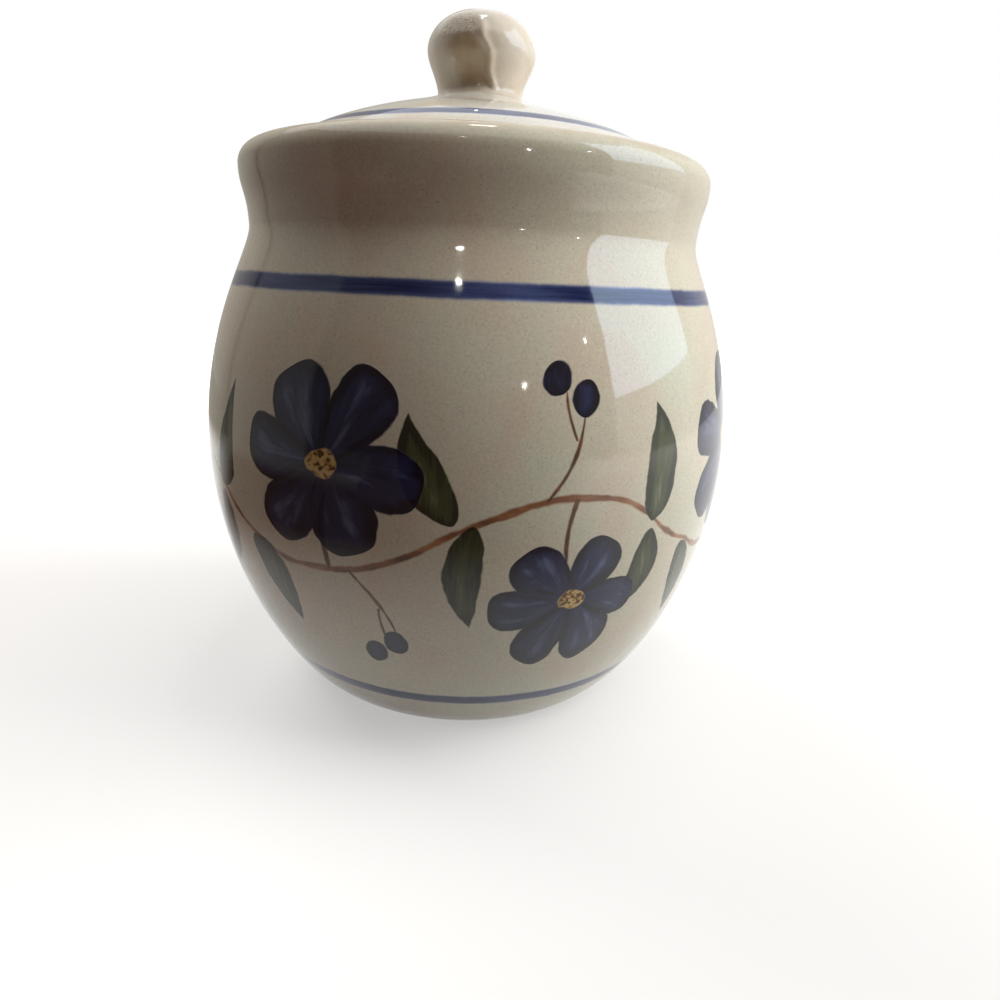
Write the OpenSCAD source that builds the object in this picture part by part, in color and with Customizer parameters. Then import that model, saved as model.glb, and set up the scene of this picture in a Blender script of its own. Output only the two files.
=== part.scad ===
// Lidded jam pot in glazed stoneware: a rounded pot with a rolled rim,
// a shallow domed lid that drops into a seat inside the rim, and a ball knob
// luted onto the lid. Millimetres, +Z up, origin at the bottom centre of the foot.

/* [Pot] */
// Height of the pot, from the table to the top of the rim
pot_h = 92.4; // [88:0.2:98]
// Diameter of the belly at its widest
belly_d = 94; // [90:0.5:104]
// Height of the belly's widest ring above the table
belly_z = 44.2; // [40:0.2:50]
// Diameter of the flat foot
foot_d = 56; // [50:0.5:62]
// Radius of the round between the foot and the belly
heel_round = 3; // [1.5:0.5:5]
// Steepness of the belly where it leaves the heel, in degrees
heel_slope = 15; // [8:1:25]
// Diameter of the neck at its narrowest
neck_d = 76.8; // [74:0.1:81]
// How far the neck's narrowest ring lies below the top of the rim
neck_drop = 12; // [10:0.2:15]
// Thickness of the thrown wall
wall = 4.2; // [3:0.1:5]
// Thickness of the floor, from the table to the inside
floor_t = 5.2; // [4:0.1:7]

/* [Foot] */
// Width of the foot ring that the pot stands on
foot_ring_w = 6; // [4:0.5:9]
// Depth of the hollow turned inside the foot ring
foot_hollow = 1.2; // [0.6:0.1:2]
// Width of the bevel from the foot ring into the hollow
foot_bevel = 1.4; // [0.5:0.1:3]

/* [Rim] */
// How far the rim stands out beyond the neck
rim_flare = 1.1; // [0.6:0.05:3]
// Radius of the rolled outer edge of the rim
rim_round = 3.2; // [2.6:0.1:4.2]
// Radius of the small round on the rim's inner edge
rim_inner_round = 0.7; // [0.3:0.1:1.2]
// Depth of the lid seat below the top of the rim
seat_depth = 3.8; // [2.8:0.1:4.6]
// Width of the ledge that carries the lid
ledge_w = 2.8; // [1.8:0.1:4]
// Thickness of the ledge at its inner edge
ledge_t = 3; // [2:0.1:4]
// Radius of the round on the ledge's inner edge
ledge_round = 0.8; // [0.4:0.1:1.2]

/* [Lid] */
// Gap all round between the lid's edge and the rim
lid_gap = 0.6; // [0.3:0.1:1.2]
// Thickness of the lid at its outer edge
lid_edge_t = 3; // [2.4:0.1:4.5]
// Radius of the round on the lid's upper edge
lid_edge_round = 1.2; // [0.5:0.1:1.8]
// Rise of the dome from its edge to the flat that carries the knob
dome_rise = 10.2; // [8:0.2:12]
// Slope of the dome at its edge, in degrees
dome_edge_slope = 38; // [28:1:46]
// Slope of the dome beside the knob, in degrees
dome_top_slope = 21; // [12:1:26]
// Thickness of the dome
dome_t = 4.2; // [3:0.1:5]

/* [Locating ring under the lid] */
// Gap all round between the locating ring and the throat of the pot
ring_gap = 1; // [0.5:0.1:1.8]
// How far the locating ring reaches below the lid seat
ring_depth = 6; // [4:0.2:8]
// Thickness of the locating ring
ring_t = 3.2; // [2.2:0.1:4]
// Radius of the round under the locating ring
ring_round = 1.3; // [0.6:0.1:1.5]

/* [Knob] */
// Height of the knob above the lid
knob_h = 13.4; // [12:0.2:18]
// Diameter of the ball
knob_d = 18.1; // [16:0.1:22]
// Height of the ball from its lowest point, were it whole, to its top
ball_h = 12.2; // [11:0.2:13]
// Diameter of the knob's neck
knob_neck_d = 14.3; // [11:0.1:15]
// Height of the knob's neck above the lid
knob_neck_z = 1.2; // [0.8:0.1:2]
// Diameter of the knob's foot, where it is luted to the lid
knob_foot_d = 15.8; // [14.4:0.1:18]
// Width of the flat ring round the knob's foot
knob_land = 0.5; // [0.2:0.1:1.2]

/* [Hidden] */
$fn = 144;

// Each pair says how far a curve runs straight on at its lower and its upper
// end: at the belly's lower half as shares of its width and of its height, and
// elsewhere as shares of its height
belly_curve_shares = [0.32, 0.51];
shoulder_curve_shares = [0.575, 0.11];
flare_curve_shares = [0.58, 0.42];
cove_curve_shares = [0.45, 0.35];
// The dome's two handles, as shares of its width
dome_curve_shares = [0.32, 0.42];
// The underside of the dome: the handle at the ring as a share of its height,
// and the handle at the middle as a share of its radius
vault_curve_shares = [0.62, 0.5];
// Where the knob's neck runs into the ball: the angle below the ball's widest
// ring, in degrees, and the two handles as shares of the height between them
ball_join_angle = -13;
knob_curve_shares = [0.27, 0.27];

// Number of straight steps along a long curve and along a small round
curve_steps = 12;
round_steps = 6;

belly_r = belly_d / 2;
foot_r = foot_d / 2;
neck_r = neck_d / 2;
neck_z = pot_h - neck_drop;
rim_r = neck_r + rim_flare;
rim_round_z = pot_h - rim_round;
seat_r = rim_r - rim_round - rim_inner_round;
seat_z = pot_h - seat_depth;
throat_r = seat_r - ledge_w;
throat_z = seat_z - ledge_t;
neck_inner_r = neck_r - wall;

lid_r = seat_r - lid_gap;
lid_edge_z = seat_z + lid_edge_t;
dome_z = lid_edge_z + dome_rise;
knob_land_r = knob_foot_d / 2 + knob_land;
ring_r = throat_r - ring_gap;
ring_inner_r = ring_r - ring_t;
ring_z = seat_z - ring_depth;
ring_edge = min(ring_round, ring_t / 2);
vault_z = dome_z - dome_t;
knob_top_z = dome_z + knob_h;

// A point at a distance and direction, in degrees, from the origin
function polar(length, angle) = [length * cos(angle), length * sin(angle)];

// Points along a smooth curve from a to b, with handles; a itself is left out
function curve(a, handle_a, handle_b, b, steps = curve_steps) =
    [for (i = [1:steps])
        let (t = i / steps, s = 1 - t)
        a * s ^ 3 + (a + handle_a) * 3 * s ^ 2 * t + (b + handle_b) * 3 * s * t ^ 2 + b * t ^ 3];

// Points along a round of half-widths rx and rz, between two angles in degrees
function round_off(centre, rx, rz, from, to, steps = round_steps) =
    [for (i = [0:steps])
        let (angle = from + (to - from) * i / steps)
        centre + [rx * cos(angle), rz * sin(angle)]];

function reversed(path) = [for (i = [len(path) - 1:-1:0]) path[i]];

// The same path, moved sideways by a distance, to its left
function beside(path, distance) =
    [for (i = [0:len(path) - 1])
        let (before = path[max(i - 1, 0)],
             after = path[min(i + 1, len(path) - 1)],
             along = (after - before) / norm(after - before))
        path[i] + distance * [-along.y, along.x]];

// Outside of the heel and belly, from the foot to the widest ring
function belly_path() =
    let (heel = round_off([foot_r, heel_round], heel_round, heel_round, -90, heel_slope - 90, 3),
         heel_end = heel[len(heel) - 1],
         widest = [belly_r, belly_z],
         out = belly_curve_shares[0] * (belly_r - foot_r),
         up = belly_curve_shares[1] * belly_z)
    concat(heel, curve(heel_end, polar(out, heel_slope), [0, -up], widest));

// Outside of the shoulder, from the widest ring up to the neck
function shoulder_path() =
    let (rise = neck_z - belly_z)
    curve([belly_r, belly_z], [0, shoulder_curve_shares[0] * rise],
          [0, -shoulder_curve_shares[1] * rise], [neck_r, neck_z]);

// The flare and the rolled rim, from the neck over the top to its inner edge
function rim_path() =
    let (rise = rim_round_z - neck_z)
    concat(
        curve([neck_r, neck_z], [0, flare_curve_shares[0] * rise],
              [0, -flare_curve_shares[1] * rise], [rim_r, rim_round_z], round_steps),
        round_off([rim_r - rim_round, rim_round_z], rim_round, rim_round, 10, 90, round_steps),
        round_off([rim_r - rim_round, pot_h - rim_inner_round],
                  rim_inner_round, rim_inner_round, 120, 180, 2));

// The lid seat and the ledge, from the rim inwards and down the throat
function seat_path() = concat(
    [[seat_r, seat_z]],
    round_off([throat_r + ledge_round, seat_z - ledge_round],
              ledge_round, ledge_round, 90, 180, 3),
    [[throat_r, throat_z]]);

// The cove under the ledge, from the throat out to the inside of the neck
function cove_path() =
    let (drop = throat_z - neck_z)
    curve([throat_r, throat_z], [0, -cove_curve_shares[0] * drop],
          [0, cove_curve_shares[1] * drop], [neck_inner_r, neck_z], round_steps);

// Inside of the wall, from the floor up to the neck
function inner_path() =
    let (inside = beside(concat(belly_path(), shoulder_path()), wall),
         by_height = [for (p = inside) [p.y, p.x]])
    concat([[lookup(floor_t, by_height), floor_t]],
           [for (p = inside) if (p.y > floor_t && p.y < neck_z) p]);

module pot() {
    color([0.83, 0.81, 0.75])
    rotate_extrude()
    polygon(concat(
        [[0, foot_hollow],
         [foot_r - foot_ring_w - foot_bevel, foot_hollow],
         [foot_r - foot_ring_w, 0]],
        belly_path(),
        shoulder_path(),
        rim_path(),
        seat_path(),
        cove_path(),
        reversed(inner_path()),
        [[0, floor_t]]));
}

// Top of the lid, from the flat that carries the knob out to its edge
function dome_path() =
    let (edge = round_off([lid_r - lid_edge_round, lid_edge_z - lid_edge_round],
                          lid_edge_round, lid_edge_round, 90 - dome_edge_slope, 0, 4),
         land = [knob_land_r, dome_z],
         width = edge[0].x - land.x)
    concat(
        [[0, dome_z], land],
        curve(land, polar(dome_curve_shares[0] * width, -dome_top_slope),
              polar(dome_curve_shares[1] * width, 180 - dome_edge_slope), edge[0]),
        [for (i = [1:len(edge) - 1]) edge[i]]);

// The locating ring and the vault inside it, from the seat to the middle
function under_path() =
    let (vault_foot = [ring_inner_r, seat_z],
         height = vault_z - vault_foot.y)
    concat(
        [[lid_r, seat_z], [ring_r, seat_z]],
        round_off([ring_r - ring_edge, ring_z + ring_edge], ring_edge, ring_edge, 0, -90, 4),
        round_off([ring_inner_r + ring_edge, ring_z + ring_edge],
                  ring_edge, ring_edge, -90, -180, 4),
        [vault_foot],
        curve(vault_foot, [0, vault_curve_shares[0] * height],
              [vault_curve_shares[1] * ring_inner_r, 0], [0, vault_z]));

module lid() {
    color([0.85, 0.84, 0.79])
    rotate_extrude()
    polygon(concat(dome_path(), under_path()));
}

// Outline of the knob, from its foot up over the ball to its top
function knob_path() =
    let (ball_z = knob_top_z - ball_h / 2,
         ball = round_off([0, ball_z], knob_d / 2, ball_h / 2, ball_join_angle, 90, 2 * round_steps),
         neck = [knob_neck_d / 2, dome_z + knob_neck_z],
         join = ball[0],
         along = ball[1] - ball[0],
         reach = join.y - neck.y)
    concat(
        [[0, dome_z], [knob_foot_d / 2, dome_z]],
        curve([knob_foot_d / 2, dome_z], [(neck.x - knob_foot_d / 2) / 2, 0],
              [0, -knob_neck_z / 2], neck, round_steps),
        curve(neck, [0, knob_curve_shares[0] * reach],
              -knob_curve_shares[1] * reach * along / norm(along), join, round_steps),
        [for (i = [1:len(ball) - 1]) ball[i]]);

module knob() {
    color([0.80, 0.77, 0.70])
    rotate_extrude()
    polygon(knob_path());
}

pot();
lid();
knob();
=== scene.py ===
"""Looks of a lidded jam pot: glazed stoneware, painted bands and a painted vine.

Everything is in metres, in the frame of the CAD part: +Z up, the origin at the
bottom centre of the foot, and the viewer of the photograph on the -Y side.
"""

from __future__ import annotations

import logging
import math
from collections.abc import Callable
from dataclasses import dataclass, field
from enum import Enum

import bpy
import numpy as np
from mathutils import Matrix, Vector


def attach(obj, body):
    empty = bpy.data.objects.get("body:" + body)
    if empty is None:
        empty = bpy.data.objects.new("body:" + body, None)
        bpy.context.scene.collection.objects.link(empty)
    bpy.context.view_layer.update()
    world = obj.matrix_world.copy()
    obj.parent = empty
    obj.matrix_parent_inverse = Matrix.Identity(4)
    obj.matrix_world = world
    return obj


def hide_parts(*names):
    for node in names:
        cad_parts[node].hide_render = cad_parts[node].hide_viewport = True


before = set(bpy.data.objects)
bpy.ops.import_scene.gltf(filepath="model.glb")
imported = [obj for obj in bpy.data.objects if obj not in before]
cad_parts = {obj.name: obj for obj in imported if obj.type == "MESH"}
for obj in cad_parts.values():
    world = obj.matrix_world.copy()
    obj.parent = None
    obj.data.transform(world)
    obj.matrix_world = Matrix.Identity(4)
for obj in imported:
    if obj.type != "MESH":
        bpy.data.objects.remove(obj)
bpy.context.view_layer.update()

log = logging.getLogger("jam_pot")

MM = 0.001
# An edge that bends by more than this stays sharp.
HARD_EDGE = math.radians(50)
# Soft noise keeps within this span almost everywhere.
NOISE_SPAN = (0.3, 0.7)
# Two numbers that shuffle whole numbers into steady random ones.
SHUFFLE = (12.9898, 437.585)
WHITE = (1.0, 1.0, 1.0, 1.0)

Point = tuple[float, float]
Path = list[Point]
Wave = tuple[int, float, float, float]
Colour = tuple[float, float, float]
Socket = bpy.types.NodeSocket
Sockets = dict[str, Socket]
Value = float | Socket


def polar(length: float, angle: float) -> Point:
    """Gives the point at a length and an angle in degrees from the origin."""
    return length * math.cos(math.radians(angle)), length * math.sin(math.radians(angle))


def curve(a: Point, handle_a: Point, handle_b: Point, b: Point, steps: int) -> Path:
    """Draws a smooth curve between two points of an outline.

    Args:
        a: Where the curve starts; this point itself is left out.
        handle_a: How far and which way the curve runs straight on from a.
        handle_b: The same at b, as an offset from b.
        b: Where the curve ends.
        steps: Number of points.

    Returns:
        The points after a, up to and with b.
    """
    t = np.linspace(0, 1, steps + 1)[1:, None]
    s = 1 - t
    pa, pb = np.array(a), np.array(b)
    ha, hb = pa + np.array(handle_a), pb + np.array(handle_b)
    points = pa * s**3 + ha * 3 * s**2 * t + hb * 3 * s * t**2 + pb * t**3
    return [tuple(p) for p in points]


def round_off(centre: Point, rx: float, rz: float, start: float, stop: float, steps: int) -> Path:
    """Draws a round of half-widths rx and rz between two angles.

    Args:
        centre: Centre of the round.
        rx: Half-width across.
        rz: Half-width upwards.
        start: First angle, in degrees.
        stop: Last angle, in degrees.
        steps: Number of steps between them.

    Returns:
        The points, both ends included.
    """
    angles = np.radians(np.linspace(start, stop, steps + 1))
    return [(centre[0] + rx * math.cos(a), centre[1] + rz * math.sin(a)) for a in angles]


def beside(path: Path, distance: float) -> Path:
    """Moves a path sideways, to its left, by a distance.

    Args:
        path: The path.
        distance: How far, in metres.

    Returns:
        The path beside it.
    """
    points = np.array(path)
    along = np.gradient(points, axis=0)
    along /= np.linalg.norm(along, axis=1)[:, None]
    return [tuple(p) for p in points + distance * np.stack([-along[:, 1], along[:, 0]], 1)]


def spaced(path: Path, longest: float) -> Path:
    """Adds points on the long straight runs of a path.

    Args:
        path: The outline.
        longest: The longest run to leave without a point, in metres.

    Returns:
        The same outline with more points.
    """
    out = [path[0]]
    for before, after in zip(path, path[1:]):
        parts = max(1, math.ceil(math.dist(before, after) / longest))
        for i in range(1, parts + 1):
            share = i / parts
            out.append(tuple(b + (a - b) * share for b, a in zip(before, after)))
    return out


def set_out(name: str, data: bpy.types.ID) -> bpy.types.Object:
    """Makes an object of a mesh, a lamp or a camera, and sets it out in the scene.

    Args:
        name: Name of the object.
        data: The mesh, lamp or camera.

    Returns:
        The new object.
    """
    thing = bpy.data.objects.new(name, data)
    bpy.context.scene.collection.objects.link(thing)
    return thing


Shave = Callable[[np.ndarray, np.ndarray, np.ndarray], np.ndarray]


@dataclass
class Turning:
    """A form thrown on the wheel: a half section, spun about the Z axis.

    Attributes:
        name: Name of the piece.
        outline: Half section from the axis below to the axis above, in metres.
        segments: Number of segments round the form.
        shave: Depth by which the hand left the form short of true, in metres,
            from angle, radius and height.
        zones: Rows of the outline at which the next material starts.
    """

    name: str
    outline: Path
    segments: int
    shave: Shave
    zones: list[int] = field(default_factory=list)

    def points(self) -> list[tuple[float, float, float]]:
        """Spins the outline, and shaves each point square to the wall.

        Returns:
            The lowest and the highest point of the axis, then ring after ring.
        """
        outline = np.array(self.outline)
        turn = np.linspace(0, 2 * math.pi, self.segments, endpoint=False)
        angle, radius = np.meshgrid(turn, outline[1:-1, 0])
        height = np.repeat(outline[1:-1, 1][:, None], self.segments, 1)
        lean = np.gradient(outline, axis=0)[1:-1]
        lean /= np.linalg.norm(lean, axis=1)[:, None] + 1e-12
        depth = self.shave(angle, radius, height)
        radius = radius - depth * lean[:, 1][:, None]
        height = height + depth * lean[:, 0][:, None]
        ring = np.stack([radius * np.sin(angle), radius * np.cos(angle), height], -1)
        ends = [(0.0, 0.0, outline[0, 1]), (0.0, 0.0, outline[-1, 1])]
        return ends + ring.reshape(-1, 3).tolist()

    def skin(self) -> tuple[list[tuple[int, ...]], list[tuple[float, ...]], list[int]]:
        """Joins the rings with faces.

        Returns:
            The corners of each face, the same corners on the map that unrolls
            the form for the bake, and the number of each face's material.
        """
        count, rows = self.segments, len(self.outline) - 2
        lengths = np.linalg.norm(np.diff(np.array(self.outline), axis=0), axis=1)
        along = np.concatenate([[0], np.cumsum(lengths)])
        along /= along[-1]
        zone = np.searchsorted(self.zones, np.arange(rows + 1), side="right")
        faces, places, finish = [], [], []
        last = 2 + (rows - 1) * count
        for j in range(count):
            k = (j + 1) % count
            u, v = j / count, (j + 1) / count
            faces.append((0, 2 + j, 2 + k))
            places.append(((u + v) / 2, along[0], u, along[1], v, along[1]))
            faces.append((last + j, 1, last + k))
            places.append((u, along[-2], (u + v) / 2, along[-1], v, along[-2]))
            finish += [zone[0], zone[rows]]
            for i in range(rows - 1):
                low, high = 2 + i * count, 2 + (i + 1) * count
                faces.append((low + j, high + j, high + k, low + k))
                a, b = along[i + 1], along[i + 2]
                places.append((u, a, u, b, v, b, v, a))
                finish.append(zone[i + 1])
        return faces, places, finish

    def spin(self) -> bpy.types.Object:
        """Builds the mesh.

        Returns:
            The new object, smooth, with its hard edges marked.
        """
        faces, places, finish = self.skin()
        mesh = bpy.data.meshes.new(self.name)
        mesh.from_pydata(self.points(), [], faces)
        unrolled = mesh.uv_layers.new(name="OFBake")
        unrolled.data.foreach_set("uv", np.concatenate([np.array(p) for p in places]))
        mesh.polygons.foreach_set("use_smooth", [True] * len(mesh.polygons))
        mesh.polygons.foreach_set("material_index", finish)
        mesh.set_sharp_from_angle(angle=HARD_EDGE)
        return set_out(self.name, mesh)


def ripple(angle: np.ndarray, height: np.ndarray, waves: list[Wave]) -> np.ndarray:
    """Adds up slow waves round and up a form, each between 0 and its depth.

    Args:
        angle: Angle round the axis.
        height: Height above the table, in metres.
        waves: Waves round the form, waves per metre of height, phase, and depth.

    Returns:
        The depth at each point, never below zero.
    """
    total = np.zeros_like(angle)
    for around, up, phase, depth in waves:
        total += depth * (0.5 + 0.5 * np.sin(around * angle + 2 * math.pi * up * height + phase))
    return total


def soft_step(value: np.ndarray, low: float, high: float) -> np.ndarray:
    """Goes smoothly from 0 at the low value to 1 at the high one.

    Args:
        value: The values.
        low: Where it starts.
        high: Where it ends.

    Returns:
        The shares, 0 to 1.
    """
    share = np.clip((value - low) / (high - low), 0, 1)
    return share * share * (3 - 2 * share)


@dataclass
class Brushwork:
    """Writes shader nodes into one tree, a step at a time.

    Attributes:
        tree: The tree.
    """

    tree: bpy.types.NodeTree

    def add(self, kind: str, **settings: object) -> bpy.types.Node:
        """Adds one node and gives it its settings.

        Args:
            kind: Blender's name of the node.
            **settings: Its settings by name.

        Returns:
            The node.
        """
        node = self.tree.nodes.new(kind)
        for name, value in settings.items():
            setattr(node, name, value)
        return node

    def put(self, socket: Socket, value: object) -> None:
        """Links a socket to another, or sets its number.

        Args:
            socket: The input.
            value: The output to link to it, or its number.
        """
        if isinstance(value, bpy.types.NodeSocket):
            self.tree.links.new(value, socket)
        else:
            socket.default_value = value

    def math(self, operation: str, a: Value, b: Value = 0.0, c: Value = 0.0, clamp: bool = False) -> Socket:
        """Works one sum.

        Args:
            operation: Blender's name of the sum.
            a: First value.
            b: Second value.
            c: Third value, where the sum takes one.
            clamp: Whether to keep the result from 0 to 1.

        Returns:
            The socket with the result.
        """
        node = self.add("ShaderNodeMath", operation=operation, use_clamp=clamp)
        for socket, value in zip(node.inputs, (a, b, c)):
            self.put(socket, value)
        return node.outputs[0]

    def plus(self, a: Value, b: Value, clamp: bool = False) -> Socket:
        """Adds two values, and keeps the sum from 0 to 1 where that is asked."""
        return self.math("ADD", a, b, clamp=clamp)

    def minus(self, a: Value, b: Value) -> Socket:
        """Takes the second value from the first."""
        return self.math("SUBTRACT", a, b)

    def over(self, a: Value, b: Value) -> Socket:
        """Divides the first value by the second."""
        return self.math("DIVIDE", a, b)

    def times(self, first: Value, *others: Value) -> Socket:
        """Multiplies two or more values.

        Args:
            first: First value.
            *others: The others.

        Returns:
            The socket with the product.
        """
        for other in others:
            first = self.math("MULTIPLY", first, other)
        return first

    def larger(self, a: Value, b: Value) -> Socket:
        """Gives the larger of two values."""
        return self.math("MAXIMUM", a, b)

    def size_of(self, a: Value) -> Socket:
        """Gives a value without its sign."""
        return self.math("ABSOLUTE", a)

    def opposite(self, share: Value) -> Socket:
        """Gives what a share leaves of the whole, 1 less it."""
        return self.minus(1.0, share)

    def length(self, x: Value, y: Value) -> Socket:
        """Gives the distance of a place from the axis."""
        return self.math("SQRT", self.plus(self.times(x, x), self.times(y, y)))

    def turn(self, x: Value, y: Value) -> Socket:
        """Gives the angle round the axis, from the viewer's side to the right."""
        return self.math("ARCTAN2", x, self.times(y, -1.0))

    def drift(self, variation: Socket, low: Value, high: Value) -> Socket:
        """Stretches soft variation over a range."""
        return self.spread(variation, *NOISE_SPAN, low, high)

    def smooth(self, value: Value, low: Value, high: Value) -> Socket:
        """Rises smoothly from 0 at low to 1 at high."""
        return self.spread(value, low, high, 0.0, 1.0, "SMOOTHSTEP")

    def spread(self, value: Value, low: Value, high: Value, first: Value, last: Value,
               kind: str = "LINEAR") -> Socket:
        """Maps a value from one range to another.

        Args:
            value: The value.
            low: Start of its range.
            high: End of its range.
            first: Result at the start.
            last: Result at the end.
            kind: How it goes from one to the other.

        Returns:
            The socket with the result.
        """
        node = self.add("ShaderNodeMapRange", interpolation_type=kind)
        names = ("Value", "From Min", "From Max", "To Min", "To Max")
        for name, item in zip(names, (value, low, high, first, last)):
            self.put(node.inputs[name], item)
        return node.outputs["Result"]

    def blend(self, factor: Value, a: object, b: object, kind: str = "MIX") -> Socket:
        """Mixes two colours.

        Args:
            factor: Share of the second.
            a: First colour, as a socket or four numbers.
            b: Second colour.
            kind: How they mix.

        Returns:
            The socket with the colour.
        """
        node = self.add("ShaderNodeMix", data_type="RGBA", blend_type=kind)
        self.put(node.inputs["Factor"], factor)
        self.put(node.inputs["A"], a)
        self.put(node.inputs["B"], b)
        return node.outputs["Result"]

    def vector(self, x: Value, y: Value, z: Value = 0.0) -> Socket:
        """Joins three numbers to a vector.

        Args:
            x: First number.
            y: Second number.
            z: Third number.

        Returns:
            The socket with the vector.
        """
        node = self.add("ShaderNodeCombineXYZ")
        for socket, value in zip(node.inputs, (x, y, z)):
            self.put(socket, value)
        return node.outputs[0]

    def split(self, vector: Socket) -> tuple[Socket, ...]:
        """Splits a vector into its three numbers.

        Args:
            vector: The vector.

        Returns:
            The sockets with the numbers.
        """
        node = self.add("ShaderNodeSeparateXYZ")
        self.put(node.inputs[0], vector)
        return tuple(node.outputs)

    def ring(self, angle: Value, level: Value) -> Socket:
        """Puts an angle on a ring, so that noise meets itself after a whole turn."""
        return self.vector(self.math("SINE", angle), self.math("COSINE", angle), level)

    def noise(self, place: Socket, scale: float, detail: float = 2.0, rough: float = 0.5,
              twist: float = 0.0) -> Socket:
        """Gives soft cloudy variation, about 0 to 1.

        Args:
            place: Where to read it.
            scale: How many features there are per unit.
            detail: How many finer layers it has.
            rough: How strong the finer layers are.
            twist: How far it is pulled out of shape.

        Returns:
            The socket with the value.
        """
        node = self.add("ShaderNodeTexNoise")
        self.put(node.inputs["Vector"], place)
        settings = {"Scale": scale, "Detail": detail, "Roughness": rough, "Distortion": twist}
        for name, value in settings.items():
            node.inputs[name].default_value = value
        return node.outputs["Fac"]

    def chance(self, number: Value) -> Socket:
        """Gives a steady random number, 0 to 1, for a whole number.

        Args:
            number: The whole number, plus the same share for all.

        Returns:
            The socket with the random number.
        """
        swing = self.math("SINE", self.times(number, SHUFFLE[0]))
        return self.math("FRACT", self.times(swing, SHUFFLE[1]))

    def luck(self, number: Value) -> Socket:
        """Gives a steady random number, -0.5 to 0.5, for a whole number."""
        return self.minus(self.chance(number), 0.5)

    def place(self) -> Socket:
        """Gives the place on the object itself."""
        return self.add("ShaderNodeTexCoord").outputs["Object"]

    def show(self, shader: Socket, out: str = "ShaderNodeOutputMaterial") -> None:
        """Makes a shader the one that shows."""
        self.put(self.add(out).inputs["Surface"], shader)

    def use(self, group: bpy.types.NodeTree, **values: object) -> bpy.types.Node:
        """Uses a group of nodes, with its inputs set by name.

        Args:
            group: The group.
            **values: What to put in each input, with _ for a space in its name.

        Returns:
            The group's node.
        """
        node = self.add("ShaderNodeGroup")
        node.node_tree = group
        for name, value in values.items():
            self.put(node.inputs[name.replace("_", " ")], value)
        return node


def linear(colour: Colour) -> tuple[float, float, float, float]:
    """Turns a colour as seen, 0 to 255, into the renderer's linear light."""
    parts = [c / 255 for c in colour]
    return tuple(p / 12.92 if p <= 0.04045 else ((p + 0.055) / 1.055) ** 2.4 for p in parts) + (1.0,)


def blank(owner: bpy.types.Material | bpy.types.World) -> Brushwork:
    """Empties the nodes of a material or a world, ready for new ones.

    Args:
        owner: The material or the world.

    Returns:
        A writer for its nodes.
    """
    owner.use_nodes = True
    owner.node_tree.nodes.clear()
    return Brushwork(owner.node_tree)


def new_group(name: str, inputs: dict[str, float],
              outputs: list[str]) -> tuple[bpy.types.NodeTree, Brushwork, Sockets, bpy.types.Node]:
    """Starts a group of nodes.

    Args:
        name: Name of the group.
        inputs: Number inputs and their usual values.
        outputs: Number outputs.

    Returns:
        The group, its writer, its input sockets by name, and its output node.
    """
    group = bpy.data.node_groups.new(name, "ShaderNodeTree")
    for label, usual in inputs.items():
        item = group.interface.new_socket(label, in_out="INPUT", socket_type="NodeSocketFloat")
        item.default_value = usual
    for label in outputs:
        group.interface.new_socket(label, in_out="OUTPUT", socket_type="NodeSocketFloat")
    writer = Brushwork(group)
    enter = writer.add("NodeGroupInput")
    leave = writer.add("NodeGroupOutput")
    return group, writer, {label: enter.outputs[label] for label in inputs}, leave


# Painting


@dataclass(frozen=True)
class Paint:
    """A colour painted under the glaze, 0 to 255 as seen.

    Attributes:
        thin: Where the brush left little of it.
        body: Where it covers.
        pooled: Where it gathered, at the edges and the end of a stroke.
        cover: How far it hides what is under it, 0 to 1.
        steps: Densities at which it is thin, of full body, and pooled.
    """

    thin: Colour
    body: Colour
    pooled: Colour
    cover: float = 1.0
    steps: tuple[float, float, float] = (0.05, 0.5, 1.0)

    def shade(self, w: Brushwork, density: Socket) -> Socket:
        """Gives the paint's colour for its density, 0 to 1.

        Args:
            w: Writer of the tree.
            density: How thick it lies.

        Returns:
            The colour.
        """
        thin, full, most = self.steps
        low = w.blend(w.smooth(density, thin, full), linear(self.thin), linear(self.body))
        return w.blend(w.smooth(density, full, most), low, linear(self.pooled))


class Pigment(Enum):
    """The potter's colours."""

    BLUE = Paint((90, 102, 138), (34, 42, 78), (13, 16, 36), cover=0.97)
    BAND = Paint((50, 104, 178), (10, 50, 116), (3, 26, 74))
    LEAF = Paint((112, 122, 88), (60, 70, 38), (26, 30, 13), cover=0.96)
    STEM = Paint((164, 116, 76), (128, 76, 42), (72, 42, 24), cover=0.92)
    OCHRE = Paint((206, 180, 124), (186, 148, 84), (96, 70, 34))


@dataclass(frozen=True)
class Stroke:
    """One stroke of the brush, in millimetres on the unrolled wall.

    Attributes:
        start: Where the brush goes down, along and up.
        angle: Which way it goes, in degrees from level.
        length: How far it goes.
        width: Width at the widest.
        swell: How slowly it widens from its start.
        taper: How slowly it narrows to its end.
        bend: How far its middle bows to the left.
    """

    start: Point
    angle: float
    length: float
    width: float
    swell: float = 0.5
    taper: float = 0.5
    bend: float = 0.0

    def half(self) -> float:
        """Gives the half-width, made so that the widest place has the width.

        Returns:
            The half-width, in millimetres.
        """
        p, q = self.swell, self.taper
        return self.width / 2 * (p + q) ** (p + q) / (p**p * q**q)


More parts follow.
